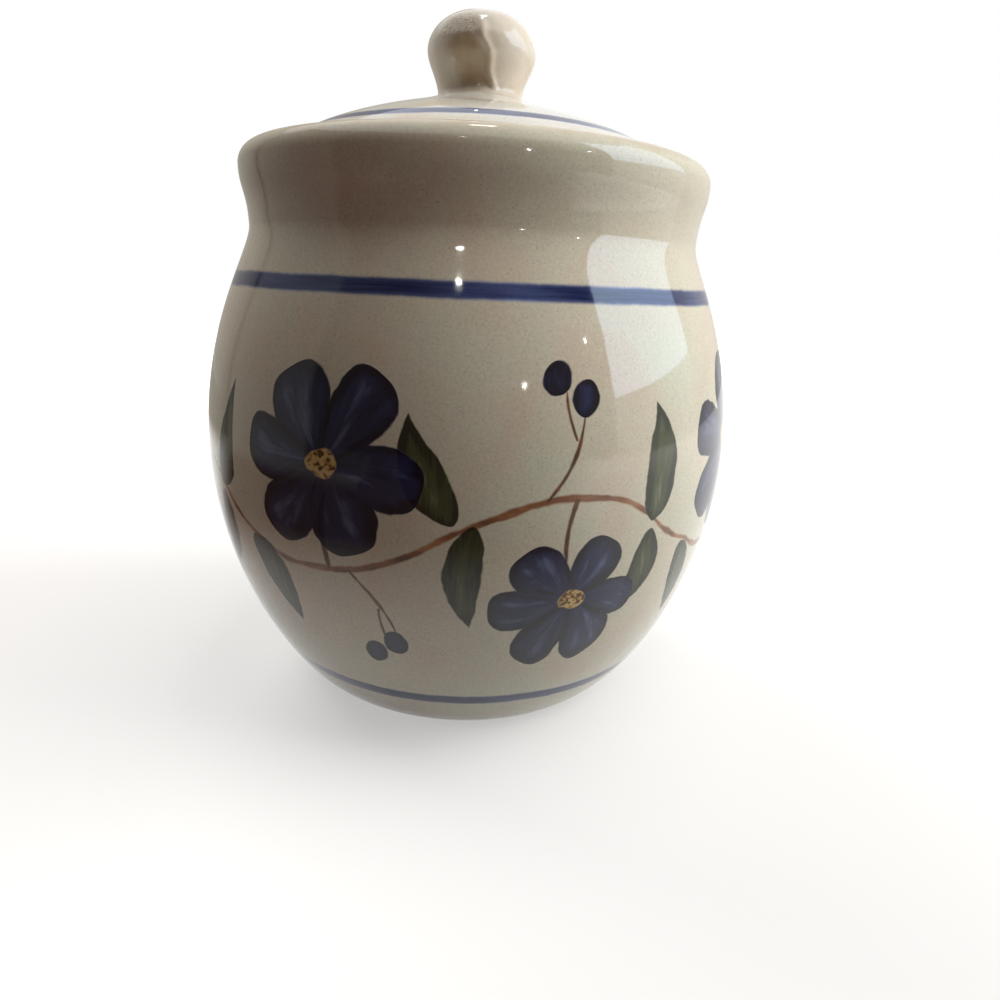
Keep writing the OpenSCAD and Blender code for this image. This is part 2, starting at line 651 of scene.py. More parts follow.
@dataclass(frozen=True)
class Brush:
    """How the potter's brush leaves its paint, in millimetres and shares.

    Attributes:
        edge_fade: Where a stroke fades out, from outside its line to inside it.
        middle_fade: How far inside the edge the paint thins to the middle's.
        edge_load: Density of the paint at the edge.
        middle_loss: How much thinner it is in the middle.
        streak: How much the streaks of the hairs change it, either way.
        gather_from: Share of the stroke after which the paint gathers.
        gather: How much denser it gets there.
    """

    edge_fade: Point = (-0.08, 0.26)
    middle_fade: Point = (0.2, 3.0)
    edge_load: float = 0.92
    middle_loss: float = 0.46
    streak: float = 0.3
    gather_from: float = 0.76
    gather: float = 0.4

    def group(self) -> bpy.types.NodeTree:
        """Builds the group that draws one stroke.

        Returns:
            A group with the stroke's mask and the density of its paint.
        """
        usual = {"U": 0, "V": 0, "Start U": 0, "Start V": 0, "Angle": 0, "Length": 10, "Half": 3}
        usual |= {"Swell": 0.5, "Taper": 0.5, "Bend": 0, "Hairs": 0.5, "Ragged": 0}
        group, w, at, leave = new_group("brush_stroke", usual, ["Mask", "Density"])
        du = w.minus(at["U"], at["Start U"])
        dv = w.minus(at["V"], at["Start V"])
        cos, sin = w.math("COSINE", at["Angle"]), w.math("SINE", at["Angle"])
        run = w.plus(w.times(du, cos), w.times(dv, sin))
        side = w.minus(w.times(dv, cos), w.times(du, sin))
        t = w.over(run, at["Length"])
        inside = w.times(w.math("GREATER_THAN", t, 0.0), w.math("LESS_THAN", t, 1.0))
        t = w.math("MINIMUM", w.larger(t, 0.0001), 0.9999)
        rest = w.opposite(t)
        bow = w.times(w.times(t, rest), w.times(at["Bend"], 4.0))
        wide = w.times(w.math("POWER", t, at["Swell"]), w.math("POWER", rest, at["Taper"]), at["Half"])
        edge = w.minus(w.plus(wide, at["Ragged"]), w.size_of(w.minus(side, bow)))
        middle = w.smooth(edge, *self.middle_fade)
        density = w.minus(self.edge_load, w.times(middle, self.middle_loss))
        density = w.plus(density, w.drift(at["Hairs"], -self.streak, self.streak))
        gathered = w.times(w.smooth(t, self.gather_from, 1.0), self.gather)
        w.put(leave.inputs["Mask"], w.times(w.smooth(edge, *self.edge_fade), inside))
        w.put(leave.inputs["Density"], w.plus(density, gathered, clamp=True))
        return group


@dataclass
class Wall:
    """The unrolled wall under the brush, in millimetres.

    Attributes:
        u: Place along the wall.
        v: Place up the wall.
        ragged: How far the edge of a stroke is off its line.
        hairs: The streaks that the brush's hairs leave, about 0 to 1.
    """

    u: Value
    v: Value
    ragged: Value
    hairs: Value


@dataclass
class Layer:
    """Paint of one colour laid on so far.

    Attributes:
        w: Writer of the tree.
        mask: Where the paint is.
        density: How thick it lies, 0 to 1.
    """

    w: Brushwork
    mask: Value = 0.0
    density: Value = 0.0

    def lay(self, mask: Socket, density: Socket) -> None:
        """Lays one more patch over those before it.

        Args:
            mask: Where the patch is.
            density: How thick it lies.
        """
        keep = self.w.times(self.density, self.w.opposite(mask))
        self.density = self.w.plus(keep, self.w.times(density, mask))
        self.mask = self.w.larger(self.mask, mask)

    def stroke(self, brush: bpy.types.NodeTree, mark: Stroke, wall: Wall, sway: Value = 0.0) -> None:
        """Lays one stroke of the brush.

        Args:
            brush: The group that draws a stroke.
            mark: The stroke.
            wall: The wall under it.
            sway: A small turn, in radians.
        """
        angle = self.w.plus(math.radians(mark.angle), sway)
        node = self.w.use(brush, U=wall.u, V=wall.v, Start_U=mark.start[0], Start_V=mark.start[1],
                          Angle=angle, Length=mark.length, Half=mark.half(), Swell=mark.swell,
                          Taper=mark.taper, Bend=mark.bend, Hairs=wall.hairs, Ragged=wall.ragged)
        self.lay(node.outputs["Mask"], node.outputs["Density"])

    def cover(self, paint: Paint, ground: Socket) -> Socket:
        """Gives a colour with this layer of a paint over it."""
        hidden = self.w.times(self.mask, paint.cover)
        return self.w.blend(hidden, ground, paint.shade(self.w, self.density))


@dataclass
class Blossom:
    """A simple six-petalled flower, a stroke of the brush for each petal.

    Attributes:
        petals: Number of petals.
        reach: Length of a petal.
        petal_width: Width of a petal.
        petal_swell: How slowly a petal widens from the middle.
        petal_taper: How slowly it narrows to its tip.
        petal_sway: How far petals turn out of their place, in radians from end to end.
        heart: Radius of the ochre middle.
        heart_fade: Where the heart fades out, from inside its edge to outside it.
        heart_dots: Span of noise over which the heart goes from plain to dark.
        bare: Radius left bare under the middle.
    """

    petals: int = 6
    reach: float = 12.2
    petal_width: float = 9.0
    petal_swell: float = 0.62
    petal_taper: float = 0.34
    petal_sway: float = 0.3
    heart: float = 2.1
    heart_fade: Point = (-0.2, 0.15)
    heart_dots: Point = (0.42, 0.62)
    bare: float = 1.1

    def group(self, brush: bpy.types.NodeTree) -> bpy.types.NodeTree:
        """Builds the group that draws the flower about its own middle.

        Args:
            brush: The group that draws a stroke.

        Returns:
            A group with masks and densities of the petals and of the heart.
        """
        usual = {"U": 0, "V": 0, "Turn": 0, "Size": 1, "Seed": 0, "Ragged": 0}
        names = ["Petals", "Petal density", "Heart", "Heart density"]
        group, w, at, leave = new_group("blossom", usual, names)
        cos, sin = w.math("COSINE", at["Turn"]), w.math("SINE", at["Turn"])
        u, v = w.over(at["U"], at["Size"]), w.over(at["V"], at["Size"])
        x = w.plus(w.times(u, cos), w.times(v, sin))
        y = w.minus(w.times(v, cos), w.times(u, sin))
        away = w.length(x, y)
        fan = w.times(w.math("ARCTAN2", y, x), 4.6)
        hairs = w.noise(w.vector(w.times(away, 0.13), fan, w.times(at["Seed"], 7.3)), 1.0, 3.0, 0.6)
        wall = Wall(x, y, at["Ragged"], hairs)
        layer = Layer(w)
        for i in range(self.petals):
            luck = w.luck(w.plus(at["Seed"], float(3 * i)))
            angle = 360 / self.petals * i
            petal = Stroke(polar(self.bare, angle), angle, self.reach, self.petal_width,
                           self.petal_swell, self.petal_taper)
            layer.stroke(brush, petal, wall, w.times(luck, self.petal_sway))
        away = w.minus(away, w.times(at["Ragged"], 2.0))
        heart = w.smooth(away, self.heart + self.heart_fade[0], self.heart + self.heart_fade[1])
        dots = w.noise(w.vector(x, y, at["Seed"]), 1.3, 1.0)
        w.put(leave.inputs["Petals"], layer.mask)
        w.put(leave.inputs["Petal density"], layer.density)
        w.put(leave.inputs["Heart"], w.opposite(heart))
        w.put(leave.inputs["Heart density"], w.smooth(dots, *self.heart_dots))
        return group


@dataclass
class PaintedVine:
    """A vine that waves round the belly, with blossoms, leaves and berries.

    Attributes:
        repeats: How often the pattern goes round the pot.
        radius: Radius at which the wall is unrolled, in millimetres.
        shift: How far the pattern is turned, in millimetres along the wall.
        middle: Mean height of the vine.
        wave: How far it rises and falls.
        stem: Width of the vine.
        leaves: Leaf strokes.
        tendrils: Thin stems of the blossoms and berries.
        berries: Short round strokes of blue.
        blossoms: Middle, turn in degrees and size of each blossom.
        leaf_sway: How far leaves turn out of their place, in radians from end to end.
        size_luck: How much the blossoms differ in size.
        rag: How far the edge of a stroke is off its line.
        wander: How far the whole pattern strays up and down.
        stem_fade: Where the vine fades out, from outside its line to inside it.
        leaf_seed: Number from which the leaves draw their luck.
        blossom_seed: Number from which the blossoms draw theirs.
        spread_z: Lowest and highest place that a stroke may reach.
    """

    repeats: int = 4
    radius: float = 46.0
    shift: float = 3.0
    middle: float = 40.0
    wave: float = 6.5
    stem: float = 0.95
    leaves: list[Stroke] = field(default_factory=lambda: [
        Stroke((0.5, 41.5), 112, 16.5, 6.6, 0.62, 1.0, 1.4),
        Stroke((3.5, 42.0), -78, 15.5, 6.0, 0.62, 1.0, -1.2),
        Stroke((31.5, 41.8), 84, 17.0, 6.8, 0.62, 1.0, -1.5),
        Stroke((32.0, 40.8), -100, 15.0, 6.0, 0.62, 1.0, 1.3),
        Stroke((-31.5, 36.8), -70, 15.5, 6.2, 0.62, 1.0, 1.2),
    ])
    tendrils: list[Stroke] = field(default_factory=lambda: [
        Stroke((-17.0, 33.6), 88, 12.0, 1.0, 0.1, 0.15, 0.6),
        Stroke((18.0, 46.4), -94, 9.0, 1.0, 0.1, 0.15, -0.5),
        Stroke((-14.0, 33.9), -58, 12.0, 0.75, 0.1, 0.2, 1.0),
        Stroke((-9.8, 28.2), -84, 6.5, 0.7, 0.1, 0.2, -0.4),
        Stroke((13.5, 46.0), 66, 12.5, 0.75, 0.1, 0.2, -1.0),
        Stroke((17.4, 54.0), 104, 6.5, 0.7, 0.1, 0.2, 0.4),
    ])
    berries: list[Stroke] = field(default_factory=lambda: [
        Stroke((-8.6, 23.9), -70, 4.4, 4.2),
        Stroke((-11.2, 21.6), -100, 4.2, 4.0),
        Stroke((18.0, 57.2), 74, 4.4, 4.2),
        Stroke((15.4, 60.0), 112, 4.2, 4.0),
    ])
    blossoms: list[tuple[Point, float, float]] = field(default_factory=lambda: [
        ((-17.0, 49.5), 12.0, 1.06),
        ((18.5, 30.0), 40.0, 0.9),
    ])
    leaf_sway: float = 0.34
    size_luck: float = 0.1
    rag: float = 0.2
    wander: float = 1.2
    stem_fade: Point = (-0.16, 0.26)
    leaf_seed: float = 31.0
    blossom_seed: float = 101.0
    spread_z: Point = (13.5, 66.5)

    @property
    def cell(self) -> float:
        """Length of one repeat of the pattern along the wall."""
        return 2 * math.pi * self.radius / self.repeats

    def unroll(self, w: Brushwork, at: Sockets) -> tuple[Wall, Socket]:
        """Unrolls the pot's wall into repeats of the pattern.

        Args:
            w: Writer of the material's tree.
            at: The material's sockets.

        Returns:
            The wall, with its places counted in each repeat, and the repeat's number.
        """
        round_pot = w.plus(w.times(at["turn"], self.radius), self.shift + self.cell * self.repeats)
        step = w.math("FLOOR", w.over(w.plus(round_pot, self.cell / 2), self.cell))
        number = w.math("MODULO", step, float(self.repeats))
        ragged = w.drift(w.noise(at["spot"], 0.3, 2.0, 0.5), -self.rag, self.rag)
        wander = w.drift(w.noise(at["spot"], 0.05, 1.0), -self.wander, self.wander)
        u = w.plus(w.minus(round_pot, w.times(step, self.cell)), w.times(wander, 0.6))
        v = w.plus(at["z"], wander)
        hairs = w.noise(w.vector(w.times(u, 0.95), w.times(v, 0.12), number), 1.0, 3.0, 0.6)
        return Wall(u, v, ragged, hairs), number

    def stems(self, w: Brushwork, brush: bpy.types.NodeTree, wall: Wall, number: Socket) -> Layer:
        """Draws the waving vine and the thin stems that leave it.

        Args:
            w: Writer of the material's tree.
            brush: The group that draws a stroke.
            wall: The wall.
            number: The repeat's number.

        Returns:
            The brown paint.
        """
        brown = Layer(w)
        phase = w.times(wall.u, 2 * math.pi / self.cell)
        line = w.plus(self.middle, w.times(w.math("SINE", phase), self.wave))
        steep = w.times(w.math("COSINE", phase), self.wave * 2 * math.pi / self.cell)
        lean = w.math("SQRT", w.plus(1.0, w.times(steep, steep)))
        off = w.size_of(w.over(w.minus(wall.v, line), lean))
        load = w.noise(w.vector(w.times(wall.u, 0.2), w.times(wall.v, 0.5), number), 1.0, 2.0)
        edge = w.minus(w.plus(self.stem / 2, w.times(wall.ragged, 0.8)), off)
        brown.lay(w.smooth(edge, *self.stem_fade), w.drift(load, 0.1, 0.9))
        fine = Wall(wall.u, wall.v, w.times(wall.ragged, 0.5), load)
        for tendril in self.tendrils:
            brown.stroke(brush, tendril, fine)
        return brown

    def flowers(self, w: Brushwork, brush: bpy.types.NodeTree, wall: Wall,
                number: Socket) -> tuple[Layer, Layer]:
        """Draws the berries and the blossoms.

        Args:
            w: Writer of the material's tree.
            brush: The group that draws a stroke.
            wall: The wall.
            number: The repeat's number.

        Returns:
            The blue paint and the ochre paint.
        """
        blossom = Blossom().group(brush)
        blue, ochre = Layer(w), Layer(w)
        for berry in self.berries:
            blue.stroke(brush, berry, wall)
        growth = w.times(w.luck(w.plus(number, 0.37)), self.size_luck)
        for i, (middle, angle, size) in enumerate(self.blossoms):
            own = w.plus(number, self.blossom_seed + 17 * i)
            flower = w.use(blossom, U=w.minus(wall.u, middle[0]), V=w.minus(wall.v, middle[1]),
                           Turn=w.plus(math.radians(angle), w.chance(own)),
                           Size=w.plus(size, growth), Seed=own, Ragged=wall.ragged)
            blue.lay(flower.outputs["Petals"], flower.outputs["Petal density"])
            ochre.lay(flower.outputs["Heart"], flower.outputs["Heart density"])
        return blue, ochre

    def paint(self, w: Brushwork, at: Sockets) -> Socket:
        """Paints the vine over the glaze's own colour.

        Args:
            w: Writer of the material's tree.
            at: The material's sockets.

        Returns:
            The colour.
        """
        brush = Brush().group()
        wall, number = self.unroll(w, at)
        green = Layer(w)
        for i, leaf in enumerate(self.leaves):
            luck = w.luck(w.plus(number, self.leaf_seed + 5 * i))
            green.stroke(brush, leaf, wall, w.times(luck, self.leaf_sway))
        brown = self.stems(w, brush, wall, number)
        blue, ochre = self.flowers(w, brush, wall, number)
        colour = brown.cover(Pigment.STEM.value, at["colour"])
        colour = green.cover(Pigment.LEAF.value, colour)
        colour = blue.cover(Pigment.BLUE.value, colour)
        return ochre.cover(Pigment.OCHRE.value, colour)


@dataclass(frozen=True)
class Band:
    """A blue line that the potter banded on the turning wheel, in millimetres.

    Attributes:
        place: Its height, or its distance from the axis.
        width: Its width.
        wobble: How far it strays to either side.
        rag: How far its edge is off its line.
        edge_fade: Where it fades out, from outside its line to inside it.
        core_fade: Where its thin edge goes over into its full middle.
        cover: How far it hides what is under it, thin and full.
    """

    place: float
    width: float
    wobble: float = 0.22
    rag: float = 0.05
    edge_fade: Point = (-0.25, 0.3)
    core_fade: Point = (-0.1, 0.6)
    cover: Point = (0.8, 0.99)

    def paint(self, w: Brushwork, at: Sockets, along: Socket) -> Socket:
        """Paints the line over the glaze's own colour.

        Args:
            w: Writer of the material's tree.
            at: The material's sockets.
            along: The measure across the line: a height, or a distance from the axis.

        Returns:
            The colour.
        """
        shift = w.drift(w.noise(w.ring(at["turn"], self.place), 1.6, 3.0), -self.wobble, self.wobble)
        rag = w.drift(w.noise(at["spot"], 0.5, 2.0), -self.rag, self.rag)
        off = w.minus(w.minus(along, self.place), shift)
        edge = w.minus(w.plus(self.width / 2, rag), w.size_of(off))
        hairs = w.noise(w.vector(w.times(off, 1.6), w.times(at["turn"], 3.0), 5.0), 1.0, 3.0, 0.6)
        load = w.noise(w.ring(at["turn"], 9.0 + self.place), 2.3, 1.0)
        core = w.spread(w.smooth(edge, *self.core_fade), 0.0, 1.0, -0.35, 0.1)
        density = w.plus(w.drift(hairs, 0.5, 0.8), w.drift(load, -0.2, 0.2))
        density = w.plus(density, core, clamp=True)
        mask = w.times(w.smooth(edge, *self.edge_fade), w.spread(density, 0.0, 1.0, *self.cover))
        return w.blend(mask, at["colour"], Pigment.BAND.value.shade(w, density))


# Finishes


@dataclass(frozen=True)
class Specks:
    """Iron specks of one size in the clay.

    Attributes:
        per_mm: How many cells there are along a millimetre, each with one speck or none.
        size: Radius of the largest speck, as a share of its cell.
        missing: Share of the cells that hold none.
        strength: How far a speck shows through the glaze.
    """

    per_mm: float
    size: float
    missing: float
    strength: float


FINE_SPECKS = Specks(2.4, 0.4, 0.45, 0.36)
LARGE_SPECKS = Specks(0.62, 0.1, 0.45, 0.45)


@dataclass(frozen=True)
class Glaze:
    """A clear pale glaze over speckled stoneware.

    Attributes:
        main: Its usual colour.
        warm: Where it runs thin over the clay.
        cool: Where it lies thick.
        fleck: Colour of the fine iron specks.
        spot: Colour of the few large ones.
        clay: Colour of bare fired clay.
        bare_shade: Tone of the clay's dark grains, as a share of its own.
        bare_rough: Roughness of bare clay.
        gloss: Roughness of the glaze.
        grain: How much its fine grain varies in tone.
        swell: Depth of its slow swell, in millimetres.
        peel: Depth of its orange peel.
    """

    main: Colour = (203, 199, 180)
    warm: Colour = (204, 193, 174)
    cool: Colour = (201, 202, 183)
    fleck: Colour = (132, 120, 102)
    spot: Colour = (96, 78, 60)
    clay: Colour = (186, 164, 136)
    bare_shade: float = 0.82
    bare_rough: float = 0.85
    gloss: float = 0.05
    grain: float = 0.1
    swell: float = 0.045
    peel: float = 0.0035

    def start(self, name: str) -> tuple[bpy.types.Material, Brushwork, bpy.types.Node, Sockets]:
        """Starts a material with this glaze's own colour and surface.

        Args:
            name: Name of the material.

        Returns:
            The material, its writer, its shader, and useful sockets by name.
        """
        material = bpy.data.materials.new(name)
        w = blank(material)
        shader = w.add("ShaderNodeBsdfPrincipled")
        shader.inputs["IOR"].default_value = 1.5
        w.show(shader.outputs[0])
        scaled = w.add("ShaderNodeVectorMath", operation="SCALE")
        w.put(scaled.inputs[0], w.place())
        scaled.inputs["Scale"].default_value = 1 / MM
        spot = scaled.outputs[0]
        x, y, z = w.split(spot)
        at = {"z": z, "r": w.length(x, y), "turn": w.turn(x, y), "spot": spot}
        cloud = w.noise(spot, 0.07, 3.0, 0.55, 0.4)
        colour = w.blend(w.smooth(cloud, 0.34, 0.52), linear(self.warm), linear(self.main))
        colour = w.blend(w.smooth(cloud, 0.52, 0.7), colour, linear(self.cool))
        grain = w.drift(w.noise(spot, 2.6, 2.0, 0.8), 1.0 - self.grain, 1.0 + self.grain)
        colour = w.blend(1.0, colour, w.vector(grain, grain, grain), "MULTIPLY")
        at["colour"] = self.speckle(w, spot, colour)
        at["rough"] = w.drift(w.noise(spot, 0.35, 2.0), self.gloss * 0.8, self.gloss * 1.4)
        swell = w.times(w.noise(spot, 0.07, 1.0), self.swell)
        peel = w.times(w.noise(spot, 0.9, 2.0), self.peel)
        at["height"] = w.plus(swell, peel)
        return material, w, shader, at

    def speckle(self, w: Brushwork, spot: Socket, ground: Socket) -> Socket:
        """Scatters the clay's iron specks, seen through the glaze.

        Args:
            w: Writer of the material's tree.
            spot: The place, in millimetres.
            ground: Colour under them.

        Returns:
            The colour with the specks.
        """
        colour = ground
        for specks, iron in ((FINE_SPECKS, self.fleck), (LARGE_SPECKS, self.spot)):
            cells = w.add("ShaderNodeTexVoronoi")
            w.put(cells.inputs["Vector"], spot)
            cells.inputs["Scale"].default_value = specks.per_mm
            luck = w.add("ShaderNodeSeparateColor")
            w.put(luck.inputs[0], cells.outputs["Color"])
            lot = luck.outputs[0]
            reach = w.spread(lot, specks.missing, 1.0, 0.0, specks.size)
            away = w.smooth(cells.outputs["Distance"], w.times(reach, 0.5), w.plus(reach, 0.001))
            there = w.math("GREATER_THAN", lot, specks.missing)
            held = w.times(w.opposite(away), there, specks.strength)
            colour = w.blend(held, colour, linear(iron))
        return colour

    def bare(self, w: Brushwork, at: Sockets, mask: Socket) -> None:
        """Wipes the glaze off where a mask says, down to the bare clay.

        Args:
            w: Writer of the material's tree.
            at: The material's sockets, which this changes.
            mask: Where the clay is bare.
        """
        grain = w.noise(at["spot"], 2.2, 4.0, 0.7)
        dark = tuple(c * self.bare_shade for c in self.clay)
        clay = w.blend(w.smooth(grain, 0.35, 0.65), linear(self.clay), linear(dark))
        at["colour"] = w.blend(mask, at["colour"], clay)
        dull(w, at, mask, self.bare_rough)
        raise_grains(w, at, w.times(grain, mask))

    def close(self, w: Brushwork, shader: bpy.types.Node, at: Sockets) -> None:
        """Joins the finished colour, gloss and relief to the shader.

        Args:
            w: Writer of the material's tree.
            shader: The shader.
            at: The material's sockets.
        """
        relief = w.add("ShaderNodeBump")
        relief.inputs["Strength"].default_value = 1.0
        relief.inputs["Distance"].default_value = MM
        w.put(relief.inputs["Height"], at["height"])
        w.put(shader.inputs["Base Color"], at["colour"])
        w.put(shader.inputs["Roughness"], at["rough"])
        w.put(shader.inputs["Normal"], relief.outputs[0])


def tint(w: Brushwork, at: Sockets, mask: Socket, colour: Colour) -> None:
    """Lays a colour over the glaze's own where a mask says."""
    at["colour"] = w.blend(mask, at["colour"], linear(colour))


def dull(w: Brushwork, at: Sockets, mask: Socket, rough: float) -> None:
    """Brings the gloss to a given roughness where a mask says."""
    at["rough"] = w.plus(at["rough"], w.times(mask, w.minus(rough, at["rough"])))


def raise_grains(w: Brushwork, at: Sockets, grains: Socket) -> None:
    """Lets grains stand up to 0.05 mm out of the surface."""
    at["height"] = w.plus(at["height"], w.times(grains, 0.05))


def stretch(w: Brushwork, value: Socket, low: float, high: float, soft: float) -> Socket:
    """Gives 1 between two values and 0 outside, with soft ends.

    Args:
        w: Writer of the material's tree.
        value: The value.
        low: Where it begins.
        high: Where it ends.
        soft: Half of the length of each soft end.

    Returns:
        The socket with the mask.
    """
    rise = w.smooth(value, low - soft, low + soft)
    fall = w.opposite(w.smooth(value, high - soft, high + soft))
    return w.times(rise, fall)


# Pieces

# Longest run that an outline keeps without a point, on flats and on walls.
FLAT_RUN = 1.6 * MM
WALL_RUN = 1.2 * MM


@dataclass
class PotBody:
    """The thrown pot: foot, belly, neck, rolled rim and the seat for the lid.

    All sizes are in metres, and follow the CAD part. Shares say how long a curve
    runs on straight at its first and its last point.

    Attributes:
        height: Height of the rim.
        belly_r: Radius of the belly at its widest.
        belly_z: Height of its widest ring.
        foot_r: Radius at which the foot starts to round into the heel.
        heel_round: Radius of that round.
        heel_slope: Slope at which the belly leaves the heel, in degrees.
        neck_r: Radius of the neck at its narrowest.
        neck_drop: How far that ring is below the rim.
        wall: Thickness of the wall.
        floor_t: Thickness of the floor.
        foot_ring_w: Width of the foot ring.
        foot_hollow: Depth of the hollow inside it.
        foot_bevel: Width of the slope into the hollow.
        rim_flare: How far the rim stands out from the neck.
        rim_round: Radius of the rolled rim.
        rim_inner_round: Radius of its inner edge.
        seat_depth: How far the ledge is below the rim.
        ledge_w: Width of the ledge.
        ledge_t: Thickness of the ledge.
        ledge_round: Radius of its edge.
        seat_corner: Radius of the corner where the seat's wall meets the ledge.
        belly_shares: Shares of the belly's curve.
        shoulder_shares: Shares of the shoulder's.
        flare_shares: Shares of the flare's.
        cove_shares: Shares of the cove's under the ledge.
        floor_round: Size of the round from the wall into the floor.
        ring_step: Rise of the throwing rings in one turn.
        ring_depth: Half of their depth.
        thin_edge: Colour where the glaze runs thin.
        upper_band: The blue line on the shoulder.
        lower_band: The blue line above the foot.
        glaze: The pot's glaze.
        vine: The painting on the belly.
    """

    height: float = 92.4 * MM
    belly_r: float = 47.0 * MM
    belly_z: float = 44.2 * MM
    foot_r: float = 28.0 * MM
    heel_round: float = 3.0 * MM
    heel_slope: float = 15.0
    neck_r: float = 38.4 * MM
    neck_drop: float = 12.0 * MM
    wall: float = 4.2 * MM
    floor_t: float = 5.2 * MM
    foot_ring_w: float = 6.0 * MM
    foot_hollow: float = 1.2 * MM
    foot_bevel: float = 1.4 * MM
    rim_flare: float = 1.1 * MM
    rim_round: float = 3.2 * MM
    rim_inner_round: float = 0.7 * MM
    seat_depth: float = 3.8 * MM
    ledge_w: float = 2.8 * MM
    ledge_t: float = 3.0 * MM
    ledge_round: float = 0.8 * MM
    seat_corner: float = 0.35 * MM
    belly_shares: Point = (0.32, 0.51)
    shoulder_shares: Point = (0.575, 0.11)
    flare_shares: Point = (0.58, 0.42)
    cove_shares: Point = (0.45, 0.35)
    floor_round: float = 3.0 * MM
    ring_step: float = 3.4 * MM
    ring_depth: float = 0.035 * MM
    thin_edge: Colour = (186, 160, 130)
    upper_band: Band = Band(72.3, 2.3)
    lower_band: Band = Band(9.7, 2.2)
    glaze: Glaze = Glaze()
    vine: PaintedVine = field(default_factory=PaintedVine)

    @property
    def hollow_r(self) -> float:
        """Radius of the flat of the hollow under the foot."""
        return self.foot_r - self.foot_ring_w - self.foot_bevel

    @property
    def neck_z(self) -> float:
        """Height of the neck's narrowest ring."""
        return self.height - self.neck_drop

    @property
    def seat_r(self) -> float:
        """Radius of the wall round the lid seat."""
        return self.neck_r + self.rim_flare - self.rim_round - self.rim_inner_round

    @property
    def seat_z(self) -> float:
        """Height of the ledge that carries the lid."""
        return self.height - self.seat_depth

    def outside(self) -> Path:
        """Draws the outside, from the heel up over the belly to the neck.

        Returns:
            The points, upwards.
        """
        heel = round_off((self.foot_r, self.heel_round), self.heel_round, self.heel_round,
                         -90, self.heel_slope - 90, 5)
        out = self.belly_shares[0] * (self.belly_r - self.foot_r)
        up = self.belly_shares[1] * self.belly_z
        widest = (self.belly_r, self.belly_z)
        belly = curve(heel[-1], polar(out, self.heel_slope), (0, -up), widest, 60)
        rise = self.neck_z - self.belly_z
        shoulder = curve(widest, (0, self.shoulder_shares[0] * rise),
                         (0, -self.shoulder_shares[1] * rise), (self.neck_r, self.neck_z), 48)
        return heel + belly + shoulder

    def rim(self) -> Path:
        """Draws the flare and the rolled rim, over the top to its inner edge.

        Returns:
            The points, from the neck inwards.
        """
        rim_r, round_z = self.neck_r + self.rim_flare, self.height - self.rim_round
        rise = round_z - self.neck_z
        flare = curve((self.neck_r, self.neck_z), (0, self.flare_shares[0] * rise),
                      (0, -self.flare_shares[1] * rise), (rim_r, round_z), 18)
        roll = round_off((rim_r - self.rim_round, round_z), self.rim_round, self.rim_round, 5, 90, 18)
        inner = round_off((rim_r - self.rim_round, self.height - self.rim_inner_round),
                          self.rim_inner_round, self.rim_inner_round, 100, 180, 8)
        return flare + roll + inner

    def seat(self) -> Path:
        """Draws the lid seat, the ledge and the cove below it.

        Returns:
            The points, downwards.
        """
        throat_r, throat_z = self.seat_r - self.ledge_w, self.seat_z - self.ledge_t
        drop = throat_z - self.neck_z
        fillet = self.seat_corner
        corner = round_off((self.seat_r - fillet, self.seat_z + fillet), fillet, fillet, 0, -90, 4)
        ledge = round_off((throat_r + self.ledge_round, self.seat_z - self.ledge_round),
                          self.ledge_round, self.ledge_round, 90, 180, 8)
        cove = curve((throat_r, throat_z), (0, -self.cove_shares[0] * drop),
                     (0, self.cove_shares[1] * drop), (self.neck_r - self.wall, self.neck_z), 14)
        return corner + ledge + [(throat_r, throat_z)] + cove

    def inside(self) -> Path:
        """Draws the inside from the neck down, and rounds it into the floor.

        Returns:
            The points, downwards.
        """
        wall, bend = beside(self.outside(), self.wall), self.floor_round
        high = [p for p in wall if self.floor_t + bend * 0.62 < p[1] < self.neck_z]
        low, flat = high[0], (high[0][0] - bend * 1.4, self.floor_t)
        corner = curve(flat, (bend * 0.9, 0), (-bend * 0.35, -bend * 0.42), low, 8)
        return high[::-1] + corner[-2::-1] + [flat]

    def outline(self) -> tuple[Path, list[int]]:
        """Draws the whole half section.

        Returns:
            The outline, and the rows where its zones start: the lower band, the
            vine, the upper band, and the plain rim and inside.
        """
        foot = spaced([(0.0, self.foot_hollow), (self.hollow_r, self.foot_hollow),
                       (self.foot_r - self.foot_ring_w, 0.0), (self.foot_r - 0.3 * MM, 0.0)], FLAT_RUN)
        outside = self.outside()
        upper = spaced(self.rim() + self.seat(), WALL_RUN) + self.inside()
        whole = foot + outside + upper
        floor = spaced([whole[-1], (0.0, self.floor_t)], FLAT_RUN)[1:]
        low, high = (z * MM for z in self.vine.spread_z)
        rows = 3, sum(z < low for _, z in outside), sum(z < high for _, z in outside), len(outside) + 8
        return whole + floor, [len(foot) + row for row in rows]

    def shave(self, angle: np.ndarray, radius: np.ndarray, height: np.ndarray) -> np.ndarray:
        """Leaves the slow unevenness of a thrown wall, and faint rings inside.

        Args:
            angle: Angle round the axis.
            radius: Distance from the axis.
            height: Height above the table.

        Returns:
            How far each point lies inside the true form.
        """
        waves = ripple(angle, height, [
            (2, 3.0, 0.4, 0.07 * MM), (3, 9.0, 2.1, 0.05 * MM), (5, 14.0, 4.0, 0.025 * MM)])
        low, high = self.height * 0.02, self.seat_z - 4 * MM
        held = np.clip((height - low) / (6 * MM), 0, 1) * np.clip((high - height) / (5 * MM), 0, 1)
        outside = np.array(self.outside())
        wall = np.interp(height, outside[:, 1], outside[:, 0]) - radius
        within = (height > self.floor_t + 4 * MM) & (height < self.seat_z - 6 * MM)
        inner = (wall > self.wall * 0.6) & within
        rings = self.ring_depth * (1 + np.sin(2 * math.pi * height / self.ring_step + angle)) * inner
        return (waves + rings) * held

